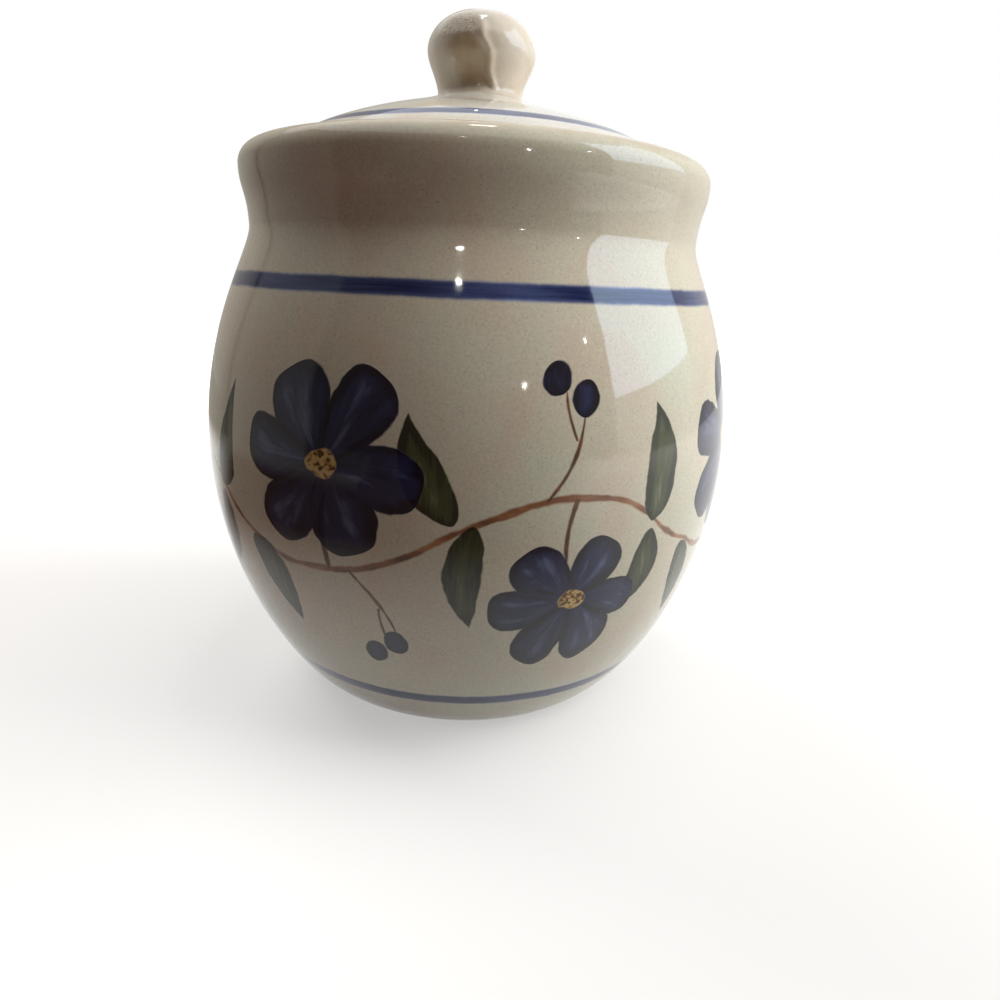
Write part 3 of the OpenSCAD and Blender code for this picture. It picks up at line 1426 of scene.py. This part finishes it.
    def dress(self, piece: bpy.types.Object) -> None:
        """Glazes and paints the pot.

        Args:
            piece: The pot, whose faces are numbered by zone.
        """
        plain = self.plain_glaze()
        lower = self.banded_glaze("pot_lower_band_glaze", self.lower_band)
        upper = self.banded_glaze("pot_upper_band_glaze", self.upper_band)
        material, w, shader, at = self.glaze.start("pot_vine_glaze")
        at["colour"] = self.vine.paint(w, at)
        self.glaze.close(w, shader, at)
        for finish in (plain, lower, material, upper, plain):
            piece.data.materials.append(finish)

    def banded_glaze(self, name: str, band: Band) -> bpy.types.Material:
        """Makes the glaze with one banded line on it.

        Args:
            name: Name of the material.
            band: The line.

        Returns:
            The material.
        """
        material, w, shader, at = self.glaze.start(name)
        self.thin_edges(w, at)
        at["colour"] = band.paint(w, at, at["z"])
        self.glaze.close(w, shader, at)
        return material

    def plain_glaze(self) -> bpy.types.Material:
        """Makes the glaze of the rim and the inside, with the foot and the ledge bare.

        Returns:
            The material.
        """
        material, w, shader, at = self.glaze.start("pot_plain_glaze")
        self.thin_edges(w, at)
        foot = w.opposite(w.smooth(at["z"], 0.5, 1.0))
        hollow_r, seat_z, seat_r = self.hollow_r / MM, self.seat_z / MM, self.seat_r / MM
        ring = w.smooth(at["r"], hollow_r - 0.2, hollow_r + 0.8)
        ledge = stretch(w, at["z"], seat_z - 0.9, seat_z + 0.45, 0.12)
        ledge = w.times(ledge, stretch(w, at["r"], seat_r - 3.2, seat_r + 0.2, 0.1))
        self.glaze.bare(w, at, w.larger(w.times(foot, ring), ledge))
        self.glaze.close(w, shader, at)
        return material

    def thin_edges(self, w: Brushwork, at: Sockets) -> None:
        """Lets the glaze run thin and warm over the rim and the heel.

        Args:
            w: Writer of the material's tree.
            at: The material's sockets, which this changes.
        """
        top = self.height / MM
        high = w.plus(at["z"], w.drift(w.noise(at["spot"], 0.3, 2.0), -0.5, 0.5))
        rim = w.times(w.smooth(high, top - 1.6, top + 0.1), 0.5)
        heel = w.times(w.opposite(w.smooth(high, 0.8, 3.4)), 0.7)
        tint(w, at, w.larger(rim, heel), self.thin_edge)

    def build(self) -> bpy.types.Object:
        """Spins, glazes and places the pot.

        Returns:
            The finished piece.
        """
        outline, zones = self.outline()
        piece = Turning("stoneware_pot", outline, 256, self.shave, zones).spin()
        self.dress(piece)
        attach(piece, "pot_body")
        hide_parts("pot")
        return piece


@dataclass
class DomedLid:
    """The domed lid: dome, rim that sits on the ledge, and locating ring below.

    Attributes:
        pot: The pot that it fits.
        gap: Room between its edge and the wall of the seat.
        edge_t: Thickness of its edge.
        edge_round: Radius of the edge's upper corner.
        rise: How far the flat under the knob is above the edge.
        edge_slope: Slope of the dome at the edge, in degrees.
        top_slope: Slope of the dome at the flat.
        dome_t: Thickness of the dome in the middle.
        ring_gap: Room between the locating ring and the ledge.
        ring_depth: How far the ring hangs down.
        ring_t: Thickness of the ring.
        ring_round: Radius of its lower corners.
        ring_corner: Radius of the corner between the ring and the seat.
        foot_round: Radius of the edge's lower corner.
        land_r: Radius of the flat that carries the knob.
        dome_shares: How long the dome's curve runs on straight at the flat and at the edge.
        vault_shares: The same for the vault at the ring and in the middle.
        band: The blue line round the dome.
        glaze: The lid's glaze, its main and cool colours lighter than the pot's as painted light on the
            upward-facing dome.
    """

    pot: PotBody
    gap: float = 0.6 * MM
    edge_t: float = 3.0 * MM
    edge_round: float = 1.2 * MM
    rise: float = 10.2 * MM
    edge_slope: float = 38.0
    top_slope: float = 21.0
    dome_t: float = 4.2 * MM
    ring_gap: float = 1.0 * MM
    ring_depth: float = 6.0 * MM
    ring_t: float = 3.2 * MM
    ring_round: float = 1.3 * MM
    ring_corner: float = 0.5 * MM
    foot_round: float = 0.4 * MM
    land_r: float = 8.4 * MM
    dome_shares: Point = (0.32, 0.42)
    vault_shares: Point = (0.62, 0.5)
    band: Band = Band(28.5, 2.2)
    # Main and cool colours lighter and cooler than the pot's: painted light and painted reflection on the
    # dome, which faces up into the light.
    glaze: Glaze = Glaze(main=(209, 207, 196), cool=(216, 213, 205))

    @property
    def radius(self) -> float:
        """Radius of the lid's edge."""
        return self.pot.seat_r - self.gap

    @property
    def ring_r(self) -> float:
        """Outer radius of the locating ring."""
        return self.pot.seat_r - self.pot.ledge_w - self.ring_gap

    @property
    def edge_z(self) -> float:
        """Height of the top of the lid's edge."""
        return self.pot.seat_z + self.edge_t

    @property
    def top_z(self) -> float:
        """Height of the flat that carries the knob."""
        return self.edge_z + self.rise

    def top(self) -> Path:
        """Draws the top, from the lid's edge up to the middle.

        Returns:
            The points, inwards.
        """
        edge = round_off((self.radius - self.edge_round, self.edge_z - self.edge_round),
                         self.edge_round, self.edge_round, 0, 90 - self.edge_slope, 10)
        land = (self.land_r, self.top_z)
        width = edge[-1][0] - land[0]
        dome = curve(edge[-1], polar(self.dome_shares[1] * width, 180 - self.edge_slope),
                     polar(self.dome_shares[0] * width, -self.top_slope), land, 48)
        return edge + dome

    def underside(self) -> Path:
        """Draws the underside, from the middle of the vault out to the edge.

        Returns:
            The points, outwards.
        """
        ring_r, inner_r = self.ring_r, self.ring_r - self.ring_t
        seat, ring_z, r = self.pot.seat_z, self.pot.seat_z - self.ring_depth, self.ring_round
        vault_z = self.top_z - self.dome_t
        vault = curve((0.0, vault_z), (self.vault_shares[1] * inner_r, 0),
                      (0, self.vault_shares[0] * (vault_z - seat)), (inner_r, seat), 40)
        under = round_off((inner_r + r, ring_z + r), r, r, 180, 270, 8)
        under += round_off((ring_r - r, ring_z + r), r, r, -90, 0, 8)
        tight, edge = self.ring_corner, self.foot_round
        corner = round_off((ring_r + tight, seat - tight), tight, tight, 180, 90, 4)
        foot = round_off((self.radius - edge, seat + edge), edge, edge, -90, 0, 4)
        return [(0.0, vault_z)] + vault + under + corner + foot

    def shave(self, angle: np.ndarray, radius: np.ndarray, height: np.ndarray) -> np.ndarray:
        """Leaves the dome a little uneven, away from its seat.

        Args:
            angle: Angle round the axis.
            radius: Distance from the axis.
            height: Height above the table.

        Returns:
            How far each point lies inside the true form.
        """
        waves = ripple(angle, radius, [(2, 20.0, 1.0, 0.06 * MM), (3, 34.0, 3.3, 0.05 * MM)])
        inwards = np.clip((self.radius - radius) / (6 * MM), 0, 1)
        return waves * inwards * np.clip((radius - self.land_r) / (5 * MM), 0, 1)

    def dress(self, piece: bpy.types.Object) -> None:
        """Glazes the lid, with a blue line round the dome and a bare seat.

        Args:
            piece: The lid.
        """
        plain = self.plain_glaze()
        material, w, shader, at = self.glaze.start("lid_banded_glaze")
        at["colour"] = self.band.paint(w, at, at["r"])
        land = self.land_r / MM
        # Tints the lid darker and warmer round the knob's foot.
        pool = w.opposite(w.smooth(at["r"], land - 0.1, land + 2.2))
        tint(w, at, w.times(pool, 0.12), (178, 160, 132))
        self.glaze.close(w, shader, at)
        for finish in (plain, material):
            piece.data.materials.append(finish)

    def plain_glaze(self) -> bpy.types.Material:
        """Makes the glaze of the underside, with bare clay where the lid sits.

        Returns:
            The material.
        """
        material, w, shader, at = self.glaze.start("lid_plain_glaze")
        seat = self.pot.seat_z / MM
        under = stretch(w, at["z"], seat - 0.7, seat + 0.5, 0.12)
        ring = self.ring_r / MM
        self.glaze.bare(w, at, w.times(under, w.smooth(at["r"], ring - 0.2, ring + 0.2)))
        self.glaze.close(w, shader, at)
        return material

    def build(self) -> bpy.types.Object:
        """Spins, glazes and places the lid.

        Returns:
            The finished piece.
        """
        under = spaced(self.underside(), WALL_RUN)
        outline = under + spaced(self.top() + [(0.0, self.top_z)], WALL_RUN)
        piece = Turning("domed_lid", outline, 240, self.shave, [len(under)]).spin()
        self.dress(piece)
        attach(piece, "lid_body")
        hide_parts("lid")
        return piece


@dataclass
class BallKnob:
    """The ball knob, with the thumbed dent and the run of glaze on its front.

    Heights on the knob are shares of its height, and turns are in radians from
    the viewer's side to the right.

    Attributes:
        lid: The lid that it is luted on.
        height: Height of the knob.
        ball_r: Radius of the ball.
        ball_h: Height of the ball.
        neck_r: Radius of its narrowest ring.
        neck_up: How far that ring is above the lid.
        slip_r: Radius of the fillet of slip round its foot.
        join_angle: Angle on the ball at which the neck joins it, in degrees.
        shares: How long the neck's curve runs on straight at each end.
        dent_turn: Where the dent is.
        dent_depth: How deep it is.
        ridge_turn: Where the ridge is, three quarters of the way up.
        ridge_half: Half-width of the ridge.
        ridge_lean: How far it leans over from foot to top.
        run_depth: How far the ridge stands out.
        honey: Colour of the glaze pooled in the dent.
        honey_depth: How far it hides the glaze under it, where thin and where deep.
        honey_lean: Where its middle is at the foot and at the top, from the dent's.
        honey_half: Its half-width.
        honey_up: Its middle and its half-height.
        dry: Colour of the dry grains above it.
        dry_up: Between which heights they are.
        dry_turns: Between which turns they are.
        dry_rough: Roughness of the glaze there.
        crease: Colour of the crease at the foot.
        glaze: The knob's glaze, its colours lighter than the pot's as painted light, its specks fainter and
            its grain finer as on the knob itself.
    """

    lid: DomedLid
    height: float = 13.4 * MM
    ball_r: float = 9.05 * MM
    ball_h: float = 12.2 * MM
    neck_r: float = 7.15 * MM
    neck_up: float = 1.2 * MM
    slip_r: float = 9.7 * MM
    join_angle: float = -13.0
    shares: Point = (0.27, 0.27)
    dent_turn: float = math.radians(-14)
    dent_depth: float = 0.28 * MM
    ridge_turn: float = math.radians(-3)
    ridge_half: float = 0.085
    ridge_lean: float = 0.5
    run_depth: float = 0.3 * MM
    honey: Colour = (158, 134, 92)
    honey_depth: Point = (0.42, 0.74)
    honey_lean: Point = (0.16, -0.3)
    honey_half: float = 0.4
    honey_up: Point = (0.33, 0.27)
    dry: Colour = (150, 132, 108)
    dry_up: Point = (0.6, 0.82)
    dry_turns: Point = (-0.8, -0.1)
    dry_rough: float = 0.42
    crease: Colour = (176, 158, 128)
    # Main, warm and cool colours lighter than the pot's: painted light on the knob, which faces the light.
    # The fainter specks and finer grain are the knob's own.
    glaze: Glaze = Glaze(main=(212, 205, 191), warm=(207, 196, 179), cool=(215, 210, 200),
                         fleck=(192, 181, 164), spot=(176, 163, 145), grain=0.035)

    def outline(self) -> Path:
        """Draws the knob's half section, from the lid up to its top.

        Returns:
            The points, upwards.
        """
        base, top = self.lid.top_z, self.lid.top_z + self.height
        half = self.ball_h / 2
        ball = round_off((0.0, top - half), self.ball_r, half, self.join_angle, 90, 56)
        neck = (self.neck_r, base + self.neck_up)
        along = np.array(ball[1]) - np.array(ball[0])
        along /= np.linalg.norm(along)
        reach = ball[0][1] - neck[1]
        slope = self.lid.top_slope
        drop = (self.slip_r - self.lid.land_r) * math.tan(math.radians(slope)) + 0.06 * MM
        edge = (self.slip_r, base - drop)
        low = curve(edge, polar(1.3 * MM, 180 - slope), (0, -self.neck_up * 0.9), neck, 14)
        into_ball = tuple(-self.shares[1] * reach * along)
        high = curve(neck, (0, self.shares[0] * reach), into_ball, ball[0], 16)
        foot = spaced([(0.0, base - drop), edge], 1.0 * MM)
        return foot + low + high + ball[1:-1] + [(0.0, ball[-1][1])]

    def shave(self, angle: np.ndarray, radius: np.ndarray, height: np.ndarray) -> np.ndarray:
        """Presses the dent into the front and leaves a ridge on its right.

        Args:
            angle: Angle from the far side, turning to the viewer's right.
            radius: Distance from the axis.
            height: Height above the table.

        Returns:
            How far each point lies inside the true form.
        """
        turn = np.angle(np.exp(1j * (math.pi - angle)))
        up = (height - self.lid.top_z) / self.height
        ridge_turn = self.ridge_turn + self.ridge_lean * (0.75 - up) + 0.03 * np.sin(19 * up)
        top = soft_step(0.87 - up, 0.0, 0.2)
        hump = np.exp(-(((turn - ridge_turn) / self.ridge_half) ** 2))
        ridge = hump * soft_step(up, 0.02, 0.14) * top
        across = soft_step(turn, -1.0, -0.45) * soft_step(ridge_turn - turn, 0.02, 0.15)
        thumb = across * soft_step(up, 0.02, 0.2) * soft_step(0.9 - up, 0.0, 0.24)
        pool = soft_step(0.64 - up, 0.0, 0.1)
        front = np.clip(1.5 - np.abs(turn), 0, 1) * top
        lumps = 0.05 * MM * (1 + np.sin(3 * angle + 700 * height)) * np.clip(up * 4, 0, 1)
        near = np.clip(radius / (4 * MM), 0, 1)
        pressed = self.dent_depth * thumb * (0.4 + 0.6 * pool)
        around_ridge = self.run_depth * (1 - ridge) * front
        return (pressed + around_ridge + lumps) * near * np.clip(up * 12, 0, 1)

    def dress(self, piece: bpy.types.Object) -> None:
        """Glazes the knob, with honey glaze pooled in its dent.

        Args:
            piece: The knob.
        """
        material, w, shader, at = self.glaze.start("knob_glaze_with_run")
        up = w.over(w.minus(at["z"], self.lid.top_z / MM), self.height / MM)
        rag = w.drift(w.noise(at["spot"], 0.4, 2.0, 0.5), -0.1, 0.1)
        turn = w.plus(at["turn"], rag)
        middle = w.spread(up, 0.0, 1.0, *(self.dent_turn + lean for lean in self.honey_lean))
        across = w.over(w.minus(turn, middle), self.honey_half)
        level = w.over(w.minus(w.plus(up, w.times(rag, 0.5)), self.honey_up[0]), self.honey_up[1])
        far = w.plus(w.math("POWER", w.size_of(across), 3.0), w.math("POWER", w.size_of(level), 4.0))
        honey = w.opposite(w.smooth(far, 0.1, 1.7))
        depth = w.drift(w.noise(at["spot"], 0.35, 2.0), *self.honey_depth)
        tint(w, at, w.times(honey, depth), self.honey)
        dry = w.times(stretch(w, up, *self.dry_up, 0.06), stretch(w, turn, *self.dry_turns, 0.1))
        grains = w.times(dry, w.smooth(w.noise(at["spot"], 1.7, 3.0, 0.7), 0.48, 0.62))
        tint(w, at, w.times(grains, 0.5), self.dry)
        dull(w, at, dry, self.dry_rough)
        raise_grains(w, at, grains)
        # Tints the knob darker and warmer towards its foot.
        crease = w.opposite(w.smooth(up, 0.0, 0.1))
        tint(w, at, w.times(crease, 0.15), self.crease)
        self.glaze.close(w, shader, at)
        piece.data.materials.append(material)

    def build(self) -> bpy.types.Object:
        """Spins, glazes and places the knob.

        Returns:
            The finished piece.
        """
        piece = Turning("ball_knob", self.outline(), 192, self.shave).spin()
        self.dress(piece)
        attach(piece, "lid_body")
        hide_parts("knob")
        return piece


@dataclass(frozen=True)
class SoftBox:
    """A flat studio lamp that looks at the pot.

    Attributes:
        name: Its name.
        turn: Angle round the pot from the viewer's side to the right, in degrees.
        rise: Angle above the level, in degrees.
        distance: Distance from the pot's middle.
        width: Width of the lamp.
        height: Height of the lamp.
        power: Power in watts.
        tint: Colour of its light.
        mirrored: Whether the glaze reflects it.
    """

    name: str
    turn: float
    rise: float
    distance: float
    width: float
    height: float
    power: float
    tint: Colour = (1.0, 1.0, 1.0)
    mirrored: bool = True

    def light(self, aim: Vector) -> bpy.types.Object:
        """Hangs the lamp and turns it to a point.

        Args:
            aim: The point that it looks at.

        Returns:
            The lamp.
        """
        lamp = bpy.data.lights.new(self.name, "AREA")
        lamp.shape = "RECTANGLE"
        lamp.size, lamp.size_y = self.width, self.height
        lamp.energy, lamp.color = self.power, self.tint
        turn, rise = math.radians(self.turn), math.radians(self.rise)
        level = math.cos(rise)
        way = Vector((math.sin(turn) * level, -math.cos(turn) * level, math.sin(rise)))
        piece = set_out(self.name, lamp)
        piece.location = aim + way * self.distance
        piece.rotation_euler = way.to_track_quat("Z", "Y").to_euler()
        piece.visible_camera = False
        piece.visible_glossy = self.mirrored
        return piece


@dataclass(frozen=True)
class Screen:
    """A plain curved sheet that glows with its own colour: a painted reflection that the glaze shows in
    place of the white room.

    Attributes:
        name: Its name.
        turns: First and last angle round the pot, from the viewer's side to the right.
        edges: Its section, as distances from the pot's axis and heights, in metres.
        tint: Colour of its glow, the painted reflection, 0 to 255 as seen.
        glow: How strongly it shows that colour of itself, at its first and last angle.
        clear: Distances between which it goes from clear to solid.
        soft_ends: Angle over which it fades out at its first and last angle, in degrees.
        blocks_soft: Whether it stands in the way of soft light as painted shade, and not only in
            reflections.
        blocks_lamps: Whether the lamps cast its shadow.
        steps: Number of flat strips that it is bent from.
    """

    name: str
    turns: Point
    edges: tuple[Point, ...]
    tint: Colour
    glow: Point = (1.0, 1.0)
    clear: Point = (0.0, 0.01)
    soft_ends: float = 0.0
    blocks_soft: bool = True
    blocks_lamps: bool = True
    steps: int = 24

    def hang(self) -> bpy.types.Object:
        """Hangs the screen as a curved sheet round the pot.

        Returns:
            The screen, which the camera itself never sees.
        """
        rows = len(self.edges)
        turns = np.radians(np.linspace(self.turns[0], self.turns[1], self.steps + 1))
        verts = [(far * math.sin(t), -far * math.cos(t), z) for t in turns for far, z in self.edges]
        faces = [(low + k, low + k + 1, low + rows + k + 1, low + rows + k)
                 for low in range(0, rows * self.steps, rows) for k in range(rows - 1)]
        mesh = bpy.data.meshes.new(self.name)
        mesh.from_pydata(verts, [], faces)
        mesh.materials.append(self.cloth())
        screen = set_out(self.name, mesh)
        screen.visible_camera = False
        screen.visible_diffuse = self.blocks_soft
        screen.visible_shadow = self.blocks_lamps
        return screen

    def cloth(self) -> bpy.types.Material:
        """Makes the screen's glowing sheet of painted reflection, which thins out towards the pot.

        Returns:
            The sheet's material, which glows with its own colour.
        """
        material = bpy.data.materials.new(self.name)
        material.cycles.emission_sampling = "NONE"
        w = blank(material)
        x, y, _ = w.split(w.place())
        turn = w.turn(x, y)
        first, last = (math.radians(a) for a in self.turns)
        shine = w.add("ShaderNodeEmission")
        shine.inputs["Color"].default_value = linear(self.tint)
        w.put(shine.inputs["Strength"], w.spread(turn, first, last, *self.glow))
        solid = w.smooth(w.length(x, y), *self.clear)
        if self.soft_ends:
            inwards = math.radians(self.soft_ends)
            rise = w.smooth(turn, first, first + inwards)
            solid = w.times(solid, rise, w.opposite(w.smooth(turn, last - inwards, last)))
        mix = w.add("ShaderNodeMixShader")
        w.put(mix.inputs[0], solid)
        w.put(mix.inputs[1], w.add("ShaderNodeBsdfTransparent").outputs[0])
        w.put(mix.inputs[2], shine.outputs[0])
        w.show(mix.outputs[0])
        return material


@dataclass
class Studio:
    """The pale table, the white room, the screens, the lamps and the camera.

    Attributes:
        rings: Radii of the rings of the round table top, the last its edge.
        steps: Number of corners of each ring.
        sunk: How far the table lies below the foot, so that the two don't touch.
        cloth: Colour of the table, as the renderer's linear light.
        glow: How bright the table shows of itself, near the pot and far away.
        fade: Distances between which it goes from the one to the other.
        aim: The point that the lamps look at.
        lamps: The lamps.
        screens: The glowing sheets of painted reflection and painted shade.
        fill: Strength of the soft light of the room.
        fill_tint: Colour of that light.
        away: How far the camera stands on the viewer's side.
        eye_height: Its height.
        pitch: How far it looks down, in radians.
        yaw: How far it looks to the right.
        roll: How far it is tilted.
        focal: Its focal length, in pixels of the photograph.
        picture: Width of the photograph, in pixels.
        sensor: Width of the camera's sensor, in millimetres.
        reach: The nearest and the furthest that it sees.
    """

    rings: tuple[float, ...] = (0.1, 0.25, 0.5, 0.9, 1.6)
    steps: int = 96
    sunk: float = 0.05 * MM
    cloth: tuple[float, ...] = (0.46, 0.46, 0.455, 1.0)
    glow: Point = (0.45, 1.0)
    fade: Point = (0.08, 0.8)
    aim: Vector = field(default_factory=lambda: Vector((0.0, 0.0, 0.055)))
    lamps: tuple[SoftBox, ...] = (
        SoftBox("soft_key", 86, 27, 0.62, 0.42, 0.42, 4.0, (1.0, 0.995, 0.97), False),
        SoftBox("soft_overhead", 84, 69, 0.7, 0.5, 0.5, 2.95, (1.0, 0.99, 0.97), False),
        SoftBox("back_fill", -136, 36, 0.62, 0.5, 0.4, 3.9, (1.0, 0.985, 0.96), False),
        SoftBox("ceiling_lamp", -6.9, 41, 0.258, 0.009, 0.0035, 0.009, (1.0, 0.97, 0.92)),
        SoftBox("lamp_above", 176, 80, 0.5, 0.045, 0.055, 0.095, (1.0, 0.97, 0.92)),
        SoftBox("lamp_behind", -179, 46, 0.6, 0.004, 0.006, 0.0015, (1.0, 0.97, 0.92)),
        SoftBox("small_lamp_right", 45.9, 25.6, 0.229, 0.004, 0.004, 0.005, (1.0, 0.95, 0.88)),
        SoftBox("small_lamp_low", 19.4, 16.5, 0.234, 0.004, 0.004, 0.009, (1.0, 0.95, 0.88)),
    )
    # Glowing sheets that the camera never sees: the painted reflection of a window on the right, painted
    # reflections of a dark room and of pale panels, and painted shade where they block soft light.
    screens: tuple[Screen, ...] = (
        Screen("window_reflection_right", (60, 108), ((0.75, 0.2), (0.75, 0.95)), (212, 232, 255), (6.0, 2.8),
               blocks_soft=False, blocks_lamps=False),
        Screen("brown_reflection_sheet_front", (-125, 50), ((0.06, 0.0003), (0.3, 0.0003)), (92, 62, 54),
               clear=(0.055, 0.12), soft_ends=24.0, blocks_lamps=False),
        Screen("grey_screen_left", (-125, -33), ((0.3, 0.0003), (0.3, 0.33)), (84, 79, 71), (1.5, 0.6),
               soft_ends=24.0, blocks_lamps=False),
        Screen("brown_screen_front", (-57, 54), ((0.3, 0.0003), (0.3, 0.33)), (72, 46, 38), (1.1, 0.7),
               soft_ends=24.0, blocks_lamps=False),
        Screen("pale_panel_left", (-112, -60), ((0.28, 0.004), (0.28, 0.34)), (152, 148, 143),
               soft_ends=4.0, blocks_soft=False, blocks_lamps=False),
        Screen("dark_screen_far", (-118, 60), ((0.76, -0.02), (0.76, 0.9)), (96, 76, 68)),
        Screen("grey_screen_far_left", (-178, -118), ((0.76, -0.02), (0.76, 0.62)), (172, 167, 158)),
        Screen("grey_reflection_sheet_left", (-178, -40), ((0.2, 0.0006), (0.74, 0.0006)), (160, 154, 145),
               clear=(0.2, 0.3), blocks_soft=False, blocks_lamps=False),
        Screen("pale_screen_far_right", (108, 152), ((0.76, -0.02), (0.76, 0.9)), (222, 219, 213),
               blocks_soft=False, blocks_lamps=False),
    )
    fill: float = 0.05
    fill_tint: tuple[float, ...] = (1.0, 0.88, 0.78, 1.0)
    away: float = 132.64 * MM
    eye_height: float = 74.23 * MM
    pitch: float = 0.31265
    yaw: float = 0.04904
    roll: float = 0.0466
    focal: float = 692.0
    picture: float = 1000.0
    sensor: float = 36.0
    reach: Point = (0.01, 20.0)

    def camera(self) -> bpy.types.Object:
        """Sets up the camera of the photograph.

        Returns:
            The camera, already the scene's own.
        """
        lens = bpy.data.cameras.new("camera")
        lens.sensor_width, lens.lens = self.sensor, self.focal * self.sensor / self.picture
        lens.clip_start, lens.clip_end = self.reach
        level = math.cos(self.pitch)
        look = Vector((math.sin(self.yaw) * level, math.cos(self.yaw) * level, -math.sin(self.pitch)))
        right = look.cross(Vector((0, 0, 1))).normalized()
        over = right.cross(look)
        tilted = right * math.cos(self.roll) + over * math.sin(self.roll)
        upward = over * math.cos(self.roll) - right * math.sin(self.roll)
        camera = set_out("camera", lens)
        turn = Matrix((tilted, upward, -look)).transposed().to_4x4()
        camera.matrix_world = Matrix.Translation((0.0, -self.away, self.eye_height)) @ turn
        bpy.context.scene.camera = camera
        return camera

    def lit_as_seen(self, w: Brushwork) -> Socket:
        """Gives 1 for what the camera sees directly, in gloss or through glass.

        Args:
            w: Writer of the tree.

        Returns:
            The socket with the mask.
        """
        path = w.add("ShaderNodeLightPath").outputs
        seen = w.larger(path["Is Camera Ray"], path["Is Glossy Ray"])
        return w.larger(seen, path["Is Transmission Ray"])

    def room(self) -> None:
        """Makes the room white to look at and soft to be lit by."""
        world = bpy.data.worlds.new("white_room")
        bpy.context.scene.world = world
        w = blank(world)
        seen = self.lit_as_seen(w)
        sky = w.add("ShaderNodeBackground")
        w.put(sky.inputs["Color"], w.blend(seen, self.fill_tint, WHITE))
        w.put(sky.inputs["Strength"], w.spread(seen, 0.0, 1.0, self.fill, 1.0))
        w.show(sky.outputs[0], "ShaderNodeOutputWorld")

    def table_cloth(self) -> bpy.types.Material:
        """Makes the table's cloth, which is lost in the white room far away.

        Returns:
            The cloth.
        """
        material = bpy.data.materials.new("pale_table")
        w = blank(material)
        matt = w.add("ShaderNodeBsdfDiffuse")
        matt.inputs["Color"].default_value = self.cloth
        x, y, _ = w.split(w.place())
        far = w.smooth(w.length(x, y), *self.fade)
        glow = w.add("ShaderNodeEmission")
        bright = w.spread(far, 0.0, 1.0, *self.glow)
        w.put(glow.inputs["Strength"], w.times(self.lit_as_seen(w), bright))
        both = w.add("ShaderNodeAddShader")
        w.put(both.inputs[0], matt.outputs[0])
        w.put(both.inputs[1], glow.outputs[0])
        w.show(both.outputs[0])
        return material

    def floor(self) -> bpy.types.Object:
        """Lays the round table top, pale near the pot and white beyond.

        Returns:
            The table top.
        """
        steps = self.steps
        turns = [2 * math.pi * i / steps for i in range(steps)]
        verts = [(0.0, 0.0, 0.0)]
        for ring in self.rings:
            verts += [(ring * math.cos(turn), ring * math.sin(turn), 0.0) for turn in turns]
        pairs = [(i, (i + 1) % steps) for i in range(steps)]
        faces = [(0, 1 + i, 1 + k) for i, k in pairs]
        for low in range(1, 1 + (len(self.rings) - 1) * steps, steps):
            high = low + steps
            faces += [(low + i, high + i, high + k, low + k) for i, k in pairs]
        mesh = bpy.data.meshes.new("table_top")
        mesh.from_pydata(verts, [], faces)
        mesh.materials.append(self.table_cloth())
        floor = set_out("table_top", mesh)
        floor.location.z = -self.sunk
        return floor

    def build(self) -> None:
        """Sets up everything round the pot."""
        scene = bpy.context.scene
        scene.view_settings.view_transform = "Standard"
        self.camera()
        self.room()
        self.floor()
        for screen in self.screens:
            screen.hang()
        for lamp in self.lamps:
            lamp.light(self.aim)


def write_sizes() -> None:
    """Updates the view layer, so that every object's place is worked out.
    """
    bpy.context.view_layer.update()


def main() -> None:
    """Builds the studio, then the pot, its lid and its knob."""
    logging.basicConfig(level=logging.INFO, format="%(name)s: %(message)s")
    Studio().build()
    pot = PotBody()
    lid = DomedLid(pot)
    knob = BallKnob(lid)
    for part in (pot, lid, knob):
        piece = part.build()
        mesh = piece.data
        log.info("%s: %d points, %d faces", piece.name, len(mesh.vertices), len(mesh.polygons))
    write_sizes()


if __name__ == "__main__":
    main()
